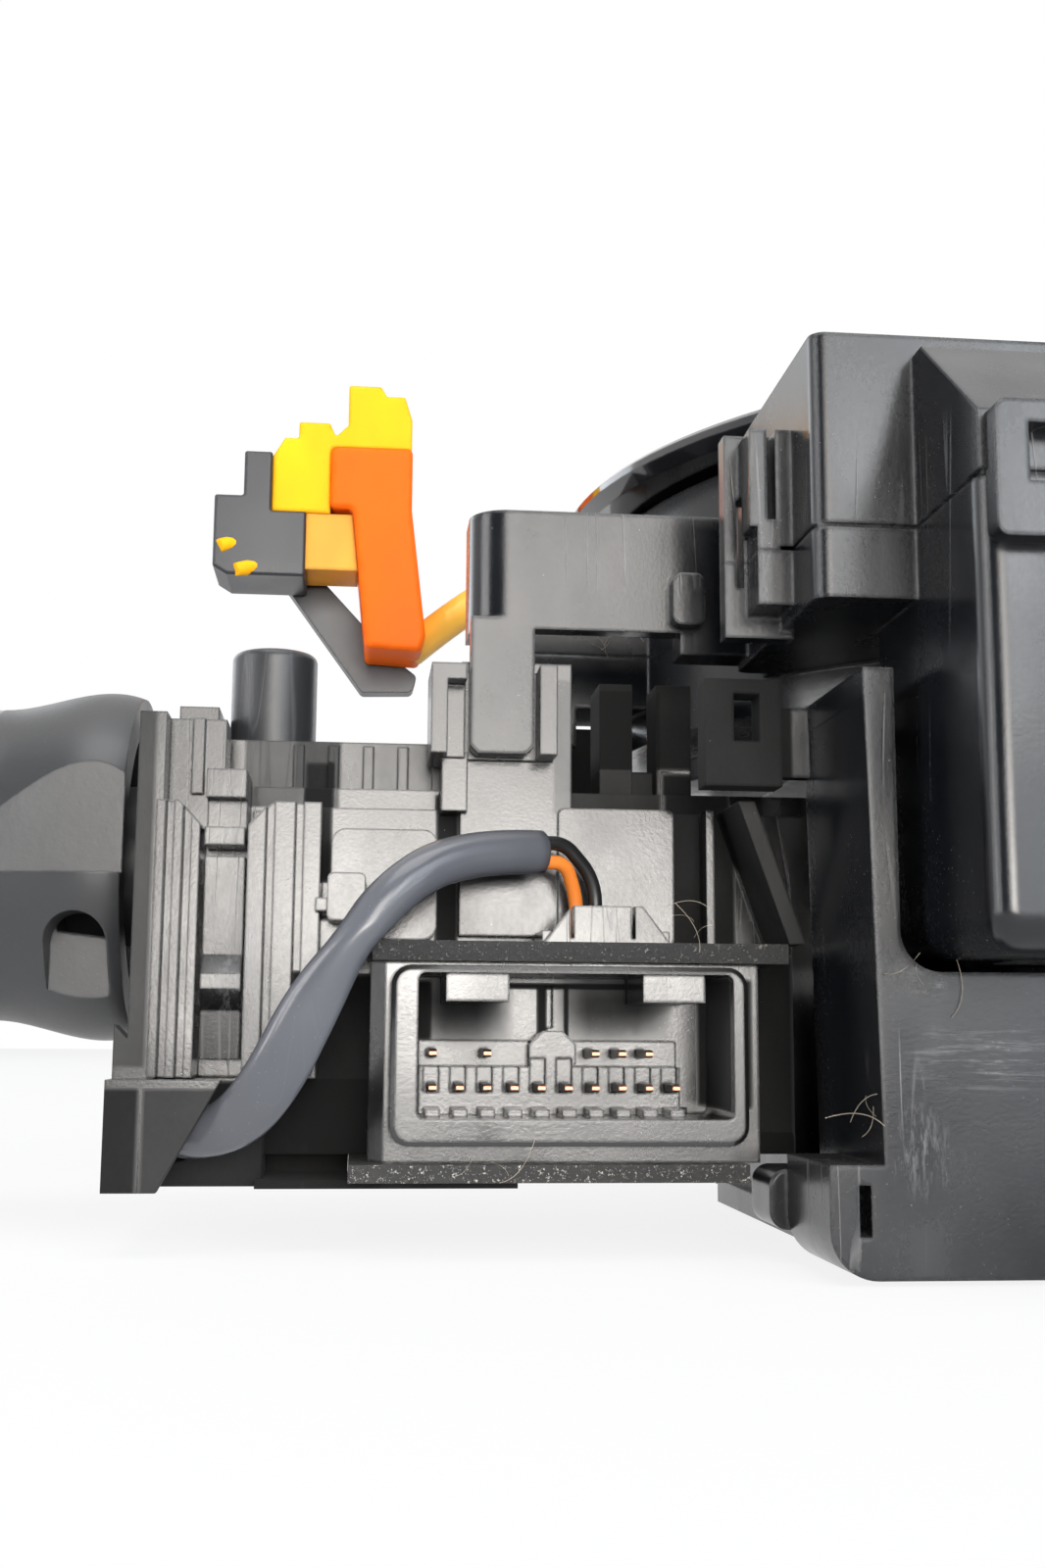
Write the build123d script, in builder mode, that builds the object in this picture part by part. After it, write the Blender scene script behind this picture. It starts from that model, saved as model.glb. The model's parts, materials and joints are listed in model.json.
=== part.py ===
from build123d import *
import os
from math import cos, pi, radians, sin

# Steering-column combination switch, in millimetres.
# +Z runs up the steering axis to the driver, +X to the right in the dash-side view and +Y away
# from that view. The origin is on the steering axis, at the lowest (dash-side) face of the base.

# Clearances
slip = 0.3                  # between pieces that only lie beside each other
running = 0.1               # radial, between a shaft and its hole
press_gap = 0.02            # radial, round a pressed pin

# Base
column_r = 21.0             # column tube in the base's bore
hub_wall = 6.5
clamp_height = 20.0
drum_r = 31.0               # drum round the cancelling cam, above the clamp
drum_wall = 3.0
base_top = 44.2
deck_thick = 2.2
deck_r = 44.0
box_half = 37.2             # half width of the front box
box_front = -57.0
box_side_depth = 17.0
base_wall = 2.2
draft_in = 0.9              # the box is this much narrower at its foot
ear_width = 4.2
ear_height = 8.0
ear_depth = 12.0
ear_corner = 3.4
ear_tail_back = -39.0
seat_x = 32.0               # faces that the lever modules seat on
seat_thick = 2.5
seat_front = -34.0
seat_back = 22.0
slit_width = 2.4            # clamp slit at the back of the bore
lug_thick = 6.0
lug_length = 12.0
clamp_screw_r = 2.5

# Clock spring stator
sleeve_r = 19.0             # rotor sleeve, outside
sleeve_bore_r = 15.2
case_floor = 46.0
case_floor_thick = 2.0
stator_low = 49.5           # underside of the front block
stator_split = 54.9
stator_top = 70.3
stator_half = 40.6
stator_drum_r = 47.0
stator_wall = 2.0
parting_groove = 0.35
stator_rear = -30.0         # the front block's side walls run back to here
terminal_half = 32.8        # terminal box in front of the block
terminal_front = -70.0
terminal_back = -46.0
terminal_low = 22.5
terminal_gap = 2.1          # between the terminal box and the base round it
terminal_gap_corner = 3.0
terminal_ridge = 68.5       # where the sloping roof meets the block
terminal_eaves = 59.5
socket_width = 22.0
socket_depth = 12.0
socket_spacing = 32.0
plug_lock_thick = 2.0

# Rotor
rim_r = 52.0
rim_low = 70.9
rim_top = 73.1
rotor_web = 1.6
cam_r = 23.0
cam_lobe_r = 25.4
cam_low = 27.5
cam_high = 35.5
rotor_low = 26.0

# Lever module
module_front = -30.0
module_back = 2.0
module_left = -91.0
module_low = 6.9
module_top = 36.5
module_wall = 2.0
hood_right = -55.0
hood_front = -26.0
hood_top = 43.0
board_thick = 1.4

# Lever: its two hinge axes cross at this point
lever_x = -82.7
lever_y = -14.0
lever_z = 32.6
peg_r = 4.1
peg_top = 53.5
yoke_r = 9.0
yoke_flat = 4.8             # the yoke is cut flat this far from its axis, beside the bell
yoke_low = 21.0
yoke_high = 41.4
tongue_thick = 6.0
tongue_half_height = 5.0
hinge_pin_r = 1.6
plunger_r = 2.0
plunger_reach = 24.7        # from the hinge point to the plunger's tip
bell_r = 16.4
bell_wall = 3.6
bell_x = -97.5
collar_x = -107.5
collar_r = 14.6
ring_width = 4.0
stalk_end_x = -178.0
knob_length = 30.0
knob_r = 9.6
cap_length = 5.0

# Harness socket: its widths follow the row of pins
mouth_low = 8.4
mouth_high = 22.4
mouth_front = -44.0
mouth_corner = 1.6
cavity_low = 10.5
cavity_high = 21.8
cavity_back = -33.0
flange_front = -40.0
flange_high = 22.8
pin_size = 0.64
pin_pitch = 2.2
pin_count = 10
first_pin_x = -67.9
lower_pin_z = 12.75
upper_pin_z = 15.5
upper_pins = (0, 2, 6, 7, 8)
pin_front = -39.5
lower_pin_back = -25.6
upper_pin_back = -22.8
left_margin = 1.4           # from the first pin to the cavity's side
right_margin = 3.8          # from the last pin to the cavity's other side
left_shroud = 2.1
right_shroud = 1.2

# Leads
lead_r = 1.85
core_r = 0.6
pigtail_r = 2.2

row_end_x = first_pin_x + (pin_count - 1) * pin_pitch
cavity_left = first_pin_x - left_margin
cavity_right = row_end_x + right_margin
mouth_left = cavity_left - left_shroud
mouth_right = cavity_right + right_shroud
seat_half_gap = seat_x - seat_thick
hub_r = column_r + hub_wall
inner_r = drum_r - drum_wall
deck_low = base_top - deck_thick
terminal_cut = terminal_half + terminal_gap
module_right = -seat_x
board_top = module_low
insulator_high = flange_high + 1.6

os.makedirs("parts", exist_ok=True)


def block(x0, x1, y0, y1, z0, z1, mode=Mode.ADD):
    """A plain box between two corners, in the part being built."""
    with Locations(((x0 + x1) / 2, (y0 + y1) / 2, (z0 + z1) / 2)):
        return Box(x1 - x0, y1 - y0, z1 - z0, mode=mode)


def front_plane(y):
    """A plane facing the dash-side view: its x and y are the part's X and Z."""
    return Plane.XZ.offset(-y)


def side_plane(x):
    """A plane across the part: its x and y are the part's Y and Z."""
    return Plane.YZ.offset(x)


def save(part, name):
    """Label a finished piece and write its file."""
    part.label = name
    export_step(part, f"parts/{name}.step")
    return part


# Base bracket: clamp hub, cam drum, deck, front box and the two module seats
with BuildPart() as base_bracket:
    with BuildSketch():
        Circle(hub_r)
        with Locations((0, hub_r + lug_length / 2 - 3)):
            Rectangle(slit_width + 2 * lug_thick, lug_length + 6)
    extrude(amount=clamp_height)
    with BuildSketch(Plane.XY.offset(clamp_height - 3)):
        Circle(drum_r)
    extrude(amount=base_top - clamp_height + 3)
    # Deck under the clock spring, with the terminal box's gap in front
    with BuildSketch(Plane.XY.offset(deck_low)):
        Circle(deck_r)
        with Locations((0, box_front / 2)):
            Rectangle(2 * box_half, -box_front)
    extrude(amount=deck_thick)
    # Front box: a face that tapers to its foot, side walls and a floor
    with BuildSketch(front_plane(box_front + base_wall)):
        Polygon(
            (-box_half + draft_in, 0),
            (box_half - draft_in, 0),
            (box_half, base_top),
            (-box_half, base_top),
            align=None,
        )
    extrude(amount=base_wall)
    with BuildSketch(front_plane(box_front + box_side_depth)):
        for side in (-1, 1):
            Polygon(
                (side * (box_half - draft_in), 0),
                (side * (box_half - draft_in - base_wall), 0),
                (side * (box_half - base_wall), base_top),
                (side * box_half, base_top),
                align=None,
            )
    extrude(amount=box_side_depth)
    block(-box_half + draft_in, box_half - draft_in, box_front, 0, 0, base_wall)
    # Seats for the lever modules, braced to the floor
    for side in (-1, 1):
        inner = side * seat_half_gap
        outer = side * seat_x
        block(min(inner, outer), max(inner, outer), seat_front, seat_back, 0, base_top)
    with BuildSketch(Plane.XY):
        with Locations((0, (seat_front + seat_back) / 2)):
            Rectangle(2 * seat_x, seat_back - seat_front)
    extrude(amount=3.0)
    # Ears beside the foot of the front box
    ear_in = box_half - draft_in - 1.0
    ear_out = box_half - draft_in + ear_width
    for side in (-1, 1):
        with BuildSketch(front_plane(box_front + ear_depth)) as ear_face:
            Polygon(
                (side * ear_in, 0),
                (side * ear_out, 0),
                (side * ear_out, ear_height),
                (side * ear_in, ear_height),
                align=None,
            )
            foot_corner = ear_face.vertices().group_by(Axis.Y)[0].sort_by(Axis.X)[0 if side < 0 else -1]
            fillet(foot_corner, ear_corner)
        extrude(amount=ear_depth)
        slot_x = side * (box_half + 0.75)
        block(slot_x - 0.45, slot_x + 0.45, box_front - 1, box_front + 6, 3.0, 6.6, Mode.SUBTRACT)
        with BuildSketch(front_plane(ear_tail_back)):
            with Locations((side * (ear_in + ear_out + 1.4) / 2, 4.5)):
                RectangleRounded(ear_out - ear_in + 1.4, 4.6, 1.4)
        extrude(amount=6.0)
    # Square loops beside the rear edges of the front box
    loop_front = box_front + box_side_depth - 3.0
    for side in (-1, 1):
        loop = sorted((side * (box_half + 2.6), side * (box_half + 9.0)))
        hole = sorted((side * (box_half + 4.4), side * (box_half + 6.6)))
        stem = sorted((side * (box_half - 1.0), side * (box_half + 3.0)))
        block(loop[0], loop[1], loop_front, loop_front + 3.0, 37.2, 46.1)
        block(stem[0], stem[1], loop_front + 1.4, loop_front + 3.0, 38.2, 44.0)
        block(hole[0], hole[1], loop_front - 1, loop_front + 4.0, 40.9, 44.9, Mode.SUBTRACT)
    # Bore, cam chamber, gap for the terminal box, clamp slit
    Cylinder(column_r, 3 * base_top, mode=Mode.SUBTRACT)
    with Locations((0, 0, clamp_height)):
        Cylinder(
            inner_r, base_top, align=(Align.CENTER, Align.CENTER, Align.MIN), mode=Mode.SUBTRACT
        )
    with BuildSketch(front_plane(terminal_back + terminal_gap)):
        with Locations((0, terminal_low - 0.8 + base_top / 2)):
            RectangleRounded(2 * terminal_cut, base_top, terminal_gap_corner)
    extrude(amount=terminal_back + terminal_gap - box_front + 1, mode=Mode.SUBTRACT)
    block(
        -slit_width / 2, slit_width / 2, column_r - 2, hub_r + lug_length + 4,
        -1, clamp_height - 3.0, Mode.SUBTRACT,
    )
    # Windows in the drum and the seats for the cancelling pawls
    for side in (-1, 1):
        block(
            min(side * 24.0, side * (seat_x + 1)), max(side * 24.0, side * (seat_x + 1)),
            -15.0, 3.0, 26.5, 36.0, Mode.SUBTRACT,
        )
    # Clamp screw hole through both lugs
    lug_y = hub_r + lug_length / 2 - 1
    with Locations(Location((0, lug_y, clamp_height / 2), (0, 90, 0))):
        Cylinder(clamp_screw_r + 0.25, 60, mode=Mode.SUBTRACT)
    # Screw holes: three up into the stator case, two through each module seat
    stator_screw_r = 1.5
    stator_screw_places = [(0, -36.0), (18.0, 31.2), (-18.0, 31.2)]
    with Locations([(x, y, base_top) for x, y in stator_screw_places]):
        Cylinder(stator_screw_r + 0.2, 12, mode=Mode.SUBTRACT)
    module_screw_y = 12.0
    module_screw_levels = (13.0, 31.0)
    module_screw_r = 1.6
    for level in module_screw_levels:
        with Locations(Location((0, module_screw_y, level), (0, 90, 0))):
            for side in (-1, 1):
                with Locations((0, 0, side * (seat_x - 1.0))):
                    Cylinder(module_screw_r + 0.2, 6, mode=Mode.SUBTRACT)
save(base_bracket.part, "base_bracket")

# Column clamp screw and its square nut
lug_half = slit_width / 2 + lug_thick
with BuildPart() as clamp_screw:
    with BuildSketch(side_plane(-lug_half - 1.0)):
        with Locations((lug_y, clamp_height / 2)):
            Circle(clamp_screw_r)
    extrude(amount=2 * lug_half + 1.0 + 6.0)
    with BuildSketch(side_plane(lug_half)):
        with Locations((lug_y, clamp_height / 2)):
            Circle(4.6)
    extrude(amount=1.0)
    with BuildSketch(side_plane(lug_half + 1.0)):
        with Locations((lug_y, clamp_height / 2)):
            RegularPolygon(4.2, 6)
    extrude(amount=4.0)
    with BuildSketch(side_plane(-lug_half - 7.0)):
        with Locations((lug_y, clamp_height / 2)):
            Circle(clamp_screw_r)
    extrude(amount=7.0)
save(clamp_screw.part, "clamp_screw")

with BuildPart() as clamp_nut:
    with BuildSketch(side_plane(-lug_half - 4.0)):
        with Locations((lug_y, clamp_height / 2)):
            Rectangle(8.0, 8.0)
            Circle(clamp_screw_r + press_gap, mode=Mode.SUBTRACT)
    extrude(amount=4.0)
save(clamp_nut.part, "clamp_nut")

# Stator case: drum floor, front block, terminal box, lock arm and clips
arm_left = -65.0
arm_right = -42.0
arm_low = 51.8
arm_high = 62.4
arm_front = -35.0
arm_thick = 2.2
arm_return = 7.0
arm_corner = 3.4
tab_left = -64.9
tab_right = -59.4
tab_low = 40.8
clip_front = -50.5          # clips on the side walls: a post, and a slotted plate behind it
clip_back = -46.6
clip_post = 2.8
clip_plate = 4.6
lug_out = 53.8
lug_top = 66.0
lug_front = -12.0
lug_back = -2.0
shield_out = 60.4           # thin shields outside the lugs
shield_low = 45.6
shield_high = 62.4
shield_thick = 1.4
with BuildPart() as stator_case:
    # Drum
    with BuildSketch(Plane.XY.offset(case_floor)):
        Circle(stator_drum_r)
    extrude(amount=stator_split - case_floor)
    # Front block
    with BuildSketch(Plane.XY.offset(stator_low)):
        with Locations((0, (box_front + stator_rear) / 2)):
            RectangleRounded(2 * stator_half, stator_rear - box_front, 1.2)
        with Locations((0, stator_rear)):
            Rectangle(2 * stator_half - 6, 20)
    extrude(amount=stator_split - stator_low)
    # Terminal box
    with BuildSketch(Plane.XY.offset(terminal_low)):
        with Locations((0, (terminal_front + terminal_back) / 2)):
            RectangleRounded(2 * terminal_half, terminal_back - terminal_front, 1.6)
    extrude(amount=stator_split - terminal_low)
    box_foot = stator_case.faces().filter_by(Axis.Z).sort_by(Axis.Z)[0]
    fillet(box_foot.edges().filter_by(Axis.X), 2.6)
    # Hollow of the ribbon chamber, the block and the terminal box
    with BuildSketch(Plane.XY.offset(case_floor + case_floor_thick)):
        Circle(stator_drum_r - stator_wall)
    extrude(amount=30, mode=Mode.SUBTRACT)
    block(
        -stator_half + stator_wall, stator_half - stator_wall,
        terminal_back + 1.0, stator_rear - stator_wall,
        stator_low + stator_wall, stator_split + 1, Mode.SUBTRACT,
    )
    block(
        -terminal_half + stator_wall, terminal_half - stator_wall,
        terminal_front + stator_wall, terminal_back - stator_wall,
        terminal_low + stator_wall + 12.0, stator_split + 1, Mode.SUBTRACT,
    )
    # Two sockets that open downwards
    for side in (-1, 1):
        with BuildSketch(Plane.XY.offset(terminal_low - 1)):
            with Locations((side * socket_spacing / 2, (terminal_front + terminal_back) / 2)):
                RectangleRounded(socket_width, socket_depth, 1.5)
        extrude(amount=11.0, mode=Mode.SUBTRACT)
    # Hole for the rotor sleeve, feet and their screw holes
    Cylinder(sleeve_r + running, 3 * stator_top, mode=Mode.SUBTRACT)
    with Locations([(x, y, base_top) for x, y in stator_screw_places]):
        Cylinder(4.0, case_floor - base_top, align=(Align.CENTER, Align.CENTER, Align.MIN))
        Cylinder(
            stator_screw_r + press_gap, 3.4, align=(Align.CENTER, Align.CENTER, Align.MIN),
            mode=Mode.SUBTRACT,
        )
    # Lock arm: a strip round the corner, with the hanging tab and the root block
    with BuildSketch(Plane.XY.offset(arm_low)):
        with BuildLine():
            arm_path = FilletPolyline(
                (arm_right, arm_front + arm_thick / 2),
                (arm_left + arm_thick / 2, arm_front + arm_thick / 2),
                (arm_left + arm_thick / 2, arm_front + arm_return),
                radius=arm_corner - arm_thick / 2,
            )
        trace(arm_path, line_width=arm_thick)
    extrude(amount=arm_high - arm_low)
    with BuildSketch(front_plane(arm_front + arm_thick)):
        Polygon(
            (tab_left, arm_low + 1),
            (tab_left, tab_low + 0.7),
            (tab_left + 0.7, tab_low),
            (tab_right - 0.7, tab_low),
            (tab_right, tab_low + 0.7),
            (tab_right, arm_low + 1),
            align=None,
        )
    extrude(amount=arm_thick)
    root_left = arm_right - 4.6
    block(root_left, -stator_half + 1, arm_front, stator_rear - 1, stator_low + 0.4, stator_split)
    with BuildSketch(front_plane(arm_front)):
        with Locations((root_left + 0.4, arm_low + 2.6)):
            RectangleRounded(2.8, 4.6, 0.8)
    extrude(amount=2.0)
    # Lower halves of the clips on both side walls, and the lugs beside the drum
    for side in (-1, 1):
        post = sorted((side * (stator_half - 1), side * (stator_half + clip_post)))
        block(post[0], post[1], clip_front, clip_back, stator_low + 1.0, stator_split)
        plate = sorted((side * (stator_half - 1), side * (stator_half + clip_plate)))
        block(plate[0], plate[1], clip_back, clip_back + 2.0, stator_low - 0.8, stator_split)
        slot = sorted((side * (stator_half + 3.0), side * (stator_half + 3.6)))
        block(slot[0], slot[1], clip_back - 1, clip_back + 3.0, 52.8, stator_split, Mode.SUBTRACT)
        lug = sorted((side * (stator_drum_r - 1.6), side * lug_out))
        block(lug[0], lug[1], lug_front, lug_back, stator_low, stator_split)
        shield = sorted((side * (lug_out - 1), side * shield_out))
        block(
            shield[0], shield[1], lug_front, lug_front + shield_thick, shield_low, stator_split
        )
save(stator_case.part, "stator_case")

# Stator cover: the upper half of the drum and block, and the terminal box's sloping roof
cover_hole_r = 24.0
with BuildPart() as stator_cover:
    with BuildSketch(Plane.XY.offset(stator_split)):
        Circle(stator_drum_r)
    extrude(amount=stator_top - stator_split)
    with BuildSketch(Plane.XY.offset(stator_split)):
        with Locations((0, (box_front + stator_rear) / 2)):
            RectangleRounded(2 * stator_half, stator_rear - box_front, 1.2)
        with Locations((0, stator_rear)):
            Rectangle(2 * stator_half - 6, 20)
    extrude(amount=stator_top - stator_split)
    with BuildSketch(side_plane(-terminal_half)):
        Polygon(
            (box_front + 3, stator_split),
            (terminal_front, stator_split),
            (terminal_front, terminal_eaves),
            (box_front - 2.2, terminal_ridge),
            (box_front + 3, terminal_ridge),
            align=None,
        )
    extrude(amount=2 * terminal_half)
    with BuildSketch(Plane.XY.offset(stator_split - 1)):
        Circle(stator_drum_r - stator_wall)
    extrude(amount=stator_top - stator_wall - stator_split + 1, mode=Mode.SUBTRACT)
    block(
        -stator_half + stator_wall, stator_half - stator_wall,
        box_front + stator_wall, stator_rear - stator_wall,
        stator_split - 1, stator_top - stator_wall, Mode.SUBTRACT,
    )
    block(
        -terminal_half + stator_wall, terminal_half - stator_wall,
        terminal_front + stator_wall, box_front + stator_wall + 1,
        stator_split - 1, terminal_eaves - stator_wall, Mode.SUBTRACT,
    )
    Cylinder(cover_hole_r, 3 * stator_top, mode=Mode.SUBTRACT)
    # Upper halves of the clips: two strips on a post, and the slotted plate behind them
    clip_neck = 57.4
    clip_top = 64.8
    for side in (-1, 1):
        post = sorted((side * (stator_half - 1), side * (stator_half + clip_post)))
        block(post[0], post[1], clip_front, clip_back, stator_split, clip_neck)
        for near, far in ((-1.0, 1.3), (2.0, 3.4)):
            strip = sorted((side * (stator_half + near), side * (stator_half + far)))
            block(strip[0], strip[1], clip_front, clip_back, clip_neck - 0.6, clip_top)
        plate = sorted((side * (stator_half - 1), side * (stator_half + clip_plate)))
        block(plate[0], plate[1], clip_back, clip_back + 2.0, stator_split, clip_top + 0.8)
        slot = sorted((side * (stator_half + 3.0), side * (stator_half + 3.6)))
        block(slot[0], slot[1], clip_back - 1, clip_back + 3.0, stator_split, 60.2, Mode.SUBTRACT)
        lug = sorted((side * (stator_drum_r - 1.6), side * lug_out))
        block(lug[0], lug[1], lug_front, lug_back, stator_split, lug_top)
        with BuildSketch(front_plane(lug_front + shield_thick)):
            Polygon(
                (side * (lug_out - 1), stator_split), (side * shield_out, stator_split),
                (side * shield_out, shield_high - 3.0), (side * (shield_out - 2.4), shield_high),
                (side * (lug_out - 1), shield_high), align=None,
            )
        extrude(amount=shield_thick)
    # Groove along the parting line
    with BuildSketch(Plane.XY.offset(stator_split)):
        for grow, rear, mode in ((1.0, stator_rear, Mode.ADD), (-0.3, 0.0, Mode.SUBTRACT)):
            with Locations((0, (box_front - grow + rear) / 2)):
                Rectangle(2 * (stator_half + grow), rear - box_front + grow, mode=mode)
            with Locations((0, (terminal_front - grow + terminal_back) / 2)):
                Rectangle(
                    2 * (terminal_half + grow), terminal_back - terminal_front + grow, mode=mode
                )
    extrude(amount=parting_groove, mode=Mode.SUBTRACT)
save(stator_cover.part, "stator_cover")

# Lock plate with a window, on the face of the terminal box
with BuildPart() as plug_lock:
    with BuildSketch(front_plane(terminal_front)):
        for side in (-1, 1):
            with Locations((side * 21.6, 54.75)):
                RectangleRounded(21.6, 9.5, 0.8)
        with Locations((0, 51.6)):
            Rectangle(30, 3.2)
        for side in (-1, 1):
            with Locations((side * 21.8, 55.85)):
                Rectangle(16.6, 4.1, mode=Mode.SUBTRACT)
    extrude(amount=plug_lock_thick)
save(plug_lock.part, "plug_lock")

# Ribbon coil: half circles on two centres, inside the stator
ribbon_inner = 24.0
ribbon_step = 3.2
ribbon_turns = 6
ribbon_thick = 0.6
with BuildPart() as ribbon_coil:
    with BuildSketch(Plane.XY.offset(case_floor + case_floor_thick)):
        with BuildLine():
            for turn in range(2 * ribbon_turns):
                radius = ribbon_inner + turn * ribbon_step / 2
                shift = 0 if turn % 2 == 0 else -ribbon_step / 2
                start = 0 if turn % 2 == 0 else 180
                CenterArc((shift, 0), radius, start, 180)
        trace(line_width=ribbon_thick)
    extrude(amount=16.0)
save(ribbon_coil.part, "ribbon_coil")

# Screws up through the deck into the stator case
with BuildPart() as stator_screws:
    with Locations([(x, y, deck_low) for x, y in stator_screw_places]):
        Cylinder(
            stator_screw_r, 5.0, align=(Align.CENTER, Align.CENTER, Align.MIN)
        )
        Cylinder(3.0, 1.8, align=(Align.CENTER, Align.CENTER, Align.MAX))
save(stator_screws.part, "stator_screws")

# Rotor: sleeve, web, rim and inner collar in one turned profile
collar_out = 22.0
collar_in = 18.6
collar_top = 80.0
exit_angle = 148.0          # where the pigtail leaves the rotor
exit_r = 48.0
exit_axis_z = 76.5
with BuildPart() as rotor:
    with BuildSketch(Plane.XZ):
        Polygon(
            (sleeve_bore_r, rotor_low),
            (sleeve_r, rotor_low),
            (sleeve_r, rim_low),
            (rim_r - 1.2, rim_low),
            (rim_r, rim_low + 1.0),
            (rim_r, rim_top - 0.5),
            (rim_r - 0.5, rim_top),
            (rim_r - 2.6, rim_top),
            (rim_r - 3.2, rim_low + rotor_web),
            (collar_out, rim_low + rotor_web),
            (collar_out, collar_top),
            (collar_in, collar_top),
            (collar_in, rim_low + rotor_web),
            (sleeve_bore_r, rim_low + rotor_web),
            align=None,
        )
    revolve(axis=Axis.Z)
    # Ribs between the collar and the rim
    with BuildSketch(Plane.XY.offset(rim_low + rotor_web)):
        with PolarLocations((collar_out + rim_r - 3.0) / 2, 12, start_angle=15):
            Rectangle(rim_r - 3.0 - collar_out + 0.6, 1.2)
    extrude(amount=1.6)
    # Drive pins for the steering wheel
    with PolarLocations(collar_out - 1.7, 2, start_angle=90):
        with Locations((0, 0, collar_top)):
            Cylinder(1.6, 5.0, align=(Align.CENTER, Align.CENTER, Align.MIN))
save(rotor.part, "rotor")

# Cancelling cam: a ring with four lobes, snapped on the foot of the sleeve
with BuildPart() as cancel_cam:
    with BuildSketch(Plane.XY.offset(cam_low)):
        Circle(cam_r)
        with PolarLocations(cam_r - 1.0, 4, start_angle=45):
            SlotCenterToCenter(0.01, 2 * (cam_lobe_r - cam_r + 1.0), rotation=90)
        Circle(sleeve_r + press_gap, mode=Mode.SUBTRACT)
    extrude(amount=cam_high - cam_low)
save(cancel_cam.part, "cancel_cam")

# Plug for the steering-wheel switches, standing on the rotor
wheel_plug_top = 84.0
with BuildPart() as wheel_plug:
    block(24.5, 38.5, -9.0, 9.0, rim_low + rotor_web + 1.7, wheel_plug_top)
    fillet(wheel_plug.edges().filter_by(Axis.Z), 1.2)
    block(26.5, 36.5, -7.0, 7.0, 76.5, wheel_plug_top + 1, Mode.SUBTRACT)
save(wheel_plug.part, "wheel_plug")

with BuildPart() as wheel_plug_pins:
    with Locations((31.5, 0, 76.5)):
        with GridLocations(3.0, pin_pitch, 2, 5):
            Box(pin_size, pin_size, 3.4, align=(Align.CENTER, Align.CENTER, Align.MIN))
save(wheel_plug_pins.part, "wheel_plug_pins")

# Pigtail: gland on the rotor, tube, and the airbag plug
exit_dir = Vector(cos(radians(exit_angle)), sin(radians(exit_angle)), 0)
exit_plane = Plane(
    origin=(exit_r * exit_dir.X, exit_r * exit_dir.Y, exit_axis_z),
    x_dir=(-exit_dir.Y, exit_dir.X, 0),
    z_dir=(exit_dir.X, exit_dir.Y, 0),
)
with BuildPart() as pigtail_gland:
    with BuildSketch(exit_plane.offset(-14)):
        RectangleRounded(10.0, 2 * (exit_axis_z - rim_low - rotor_web), 1.5)
    extrude(amount=14)
save(pigtail_gland.part, "pigtail_gland")

pigtail_points = [
    (exit_plane.origin.X, exit_plane.origin.Y, exit_axis_z),
    tuple(exit_plane.origin + exit_dir * 11.2),
    (-60.0, 37.4, 73.5),
    (-68.0, 42.1, 67.4),
]


def bend_radii(points, share=0.45):
    """The largest arc at each inner point that its two runs allow."""
    radii = []
    for before, here, after in zip(points, points[1:], points[2:]):
        arriving = Vector(*here) - Vector(*before)
        leaving = Vector(*after) - Vector(*here)
        half_turn = radians(arriving.get_angle(leaving)) / 2
        shorter = min(arriving.length, leaving.length)
        radii.append(share * shorter * cos(half_turn) / sin(half_turn))
    return radii


def tube(points, radius):
    """A round tube along straight runs joined by tangent arcs."""
    radii = bend_radii(points)
    print("bend radii", [round(value, 1) for value in radii])
    with BuildPart() as swept:
        with BuildLine() as path:
            FilletPolyline(*points, radius=radii)
        route = path.wire()
        with BuildSketch(Plane(origin=route @ 0, z_dir=route % 0)):
            Circle(radius)
        sweep(path=route)
    expected = pi * radius * radius * route.length
    print("tube volume share", round(swept.part.volume / expected, 4))
    return swept.part


pigtail = save(tube(pigtail_points, pigtail_r), "pigtail_tube")

plug_back = 46.0
plug_depth = 11.0
strap_thick = 3.0
with BuildPart() as airbag_plug:
    with BuildSketch(front_plane(plug_back)):
        Polygon(
            (-78.9, 84.6),
            (-76.0, 84.6),
            (-74.0, 66.2),
            (-66.9, 65.8),
            (-66.3, 68.0),
            (-68.3, 84.6),
            (-68.3, 93.0),
            (-78.9, 93.0),
            align=None,
        )
    extrude(amount=plug_depth)
    fillet(airbag_plug.edges().filter_by(Axis.Y), 0.8)
    chamfer(airbag_plug.faces().sort_by(Axis.Y)[0].edges(), 0.5)
    chamfer(airbag_plug.faces().sort_by(Axis.Y)[-1].edges(), 0.5)
    add(pigtail, mode=Mode.SUBTRACT)
save(airbag_plug.part, "airbag_plug")

with BuildPart() as airbag_plug_lock:
    with BuildSketch(front_plane(plug_back - 1.0)):
        Polygon(
            (-86.5, 84.1),
            (-86.5, 91.6),
            (-85.0, 94.2),
            (-83.2, 94.2),
            (-83.2, 96.4),
            (-79.2, 96.4),
            (-78.4, 94.6),
            (-76.8, 96.2),
            (-76.8, 101.7),
            (-72.6, 101.7),
            (-71.8, 100.4),
            (-69.4, 100.4),
            (-68.4, 97.2),
            (-68.4, 93.0),
            (-78.9, 93.0),
            (-78.9, 84.1),
            align=None,
        )
    extrude(amount=plug_depth - 2.0)
    fillet(airbag_plug_lock.edges().filter_by(Axis.Y), 0.35)
    chamfer(airbag_plug_lock.faces().sort_by(Axis.Y)[0].edges(), 0.3)
    chamfer(airbag_plug_lock.faces().sort_by(Axis.Y)[-1].edges(), 0.3)
save(airbag_plug_lock.part, "airbag_plug_lock")

with BuildPart() as airbag_side_cover:
    with BuildSketch(front_plane(plug_back - 1.5)):
        Polygon(
            (-82.0, 76.6), (-75.2, 76.6), (-76.0, 84.1), (-82.0, 84.1), align=None
        )
    extrude(amount=plug_depth - 3.0)
save(airbag_side_cover.part, "airbag_side_cover")

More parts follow.
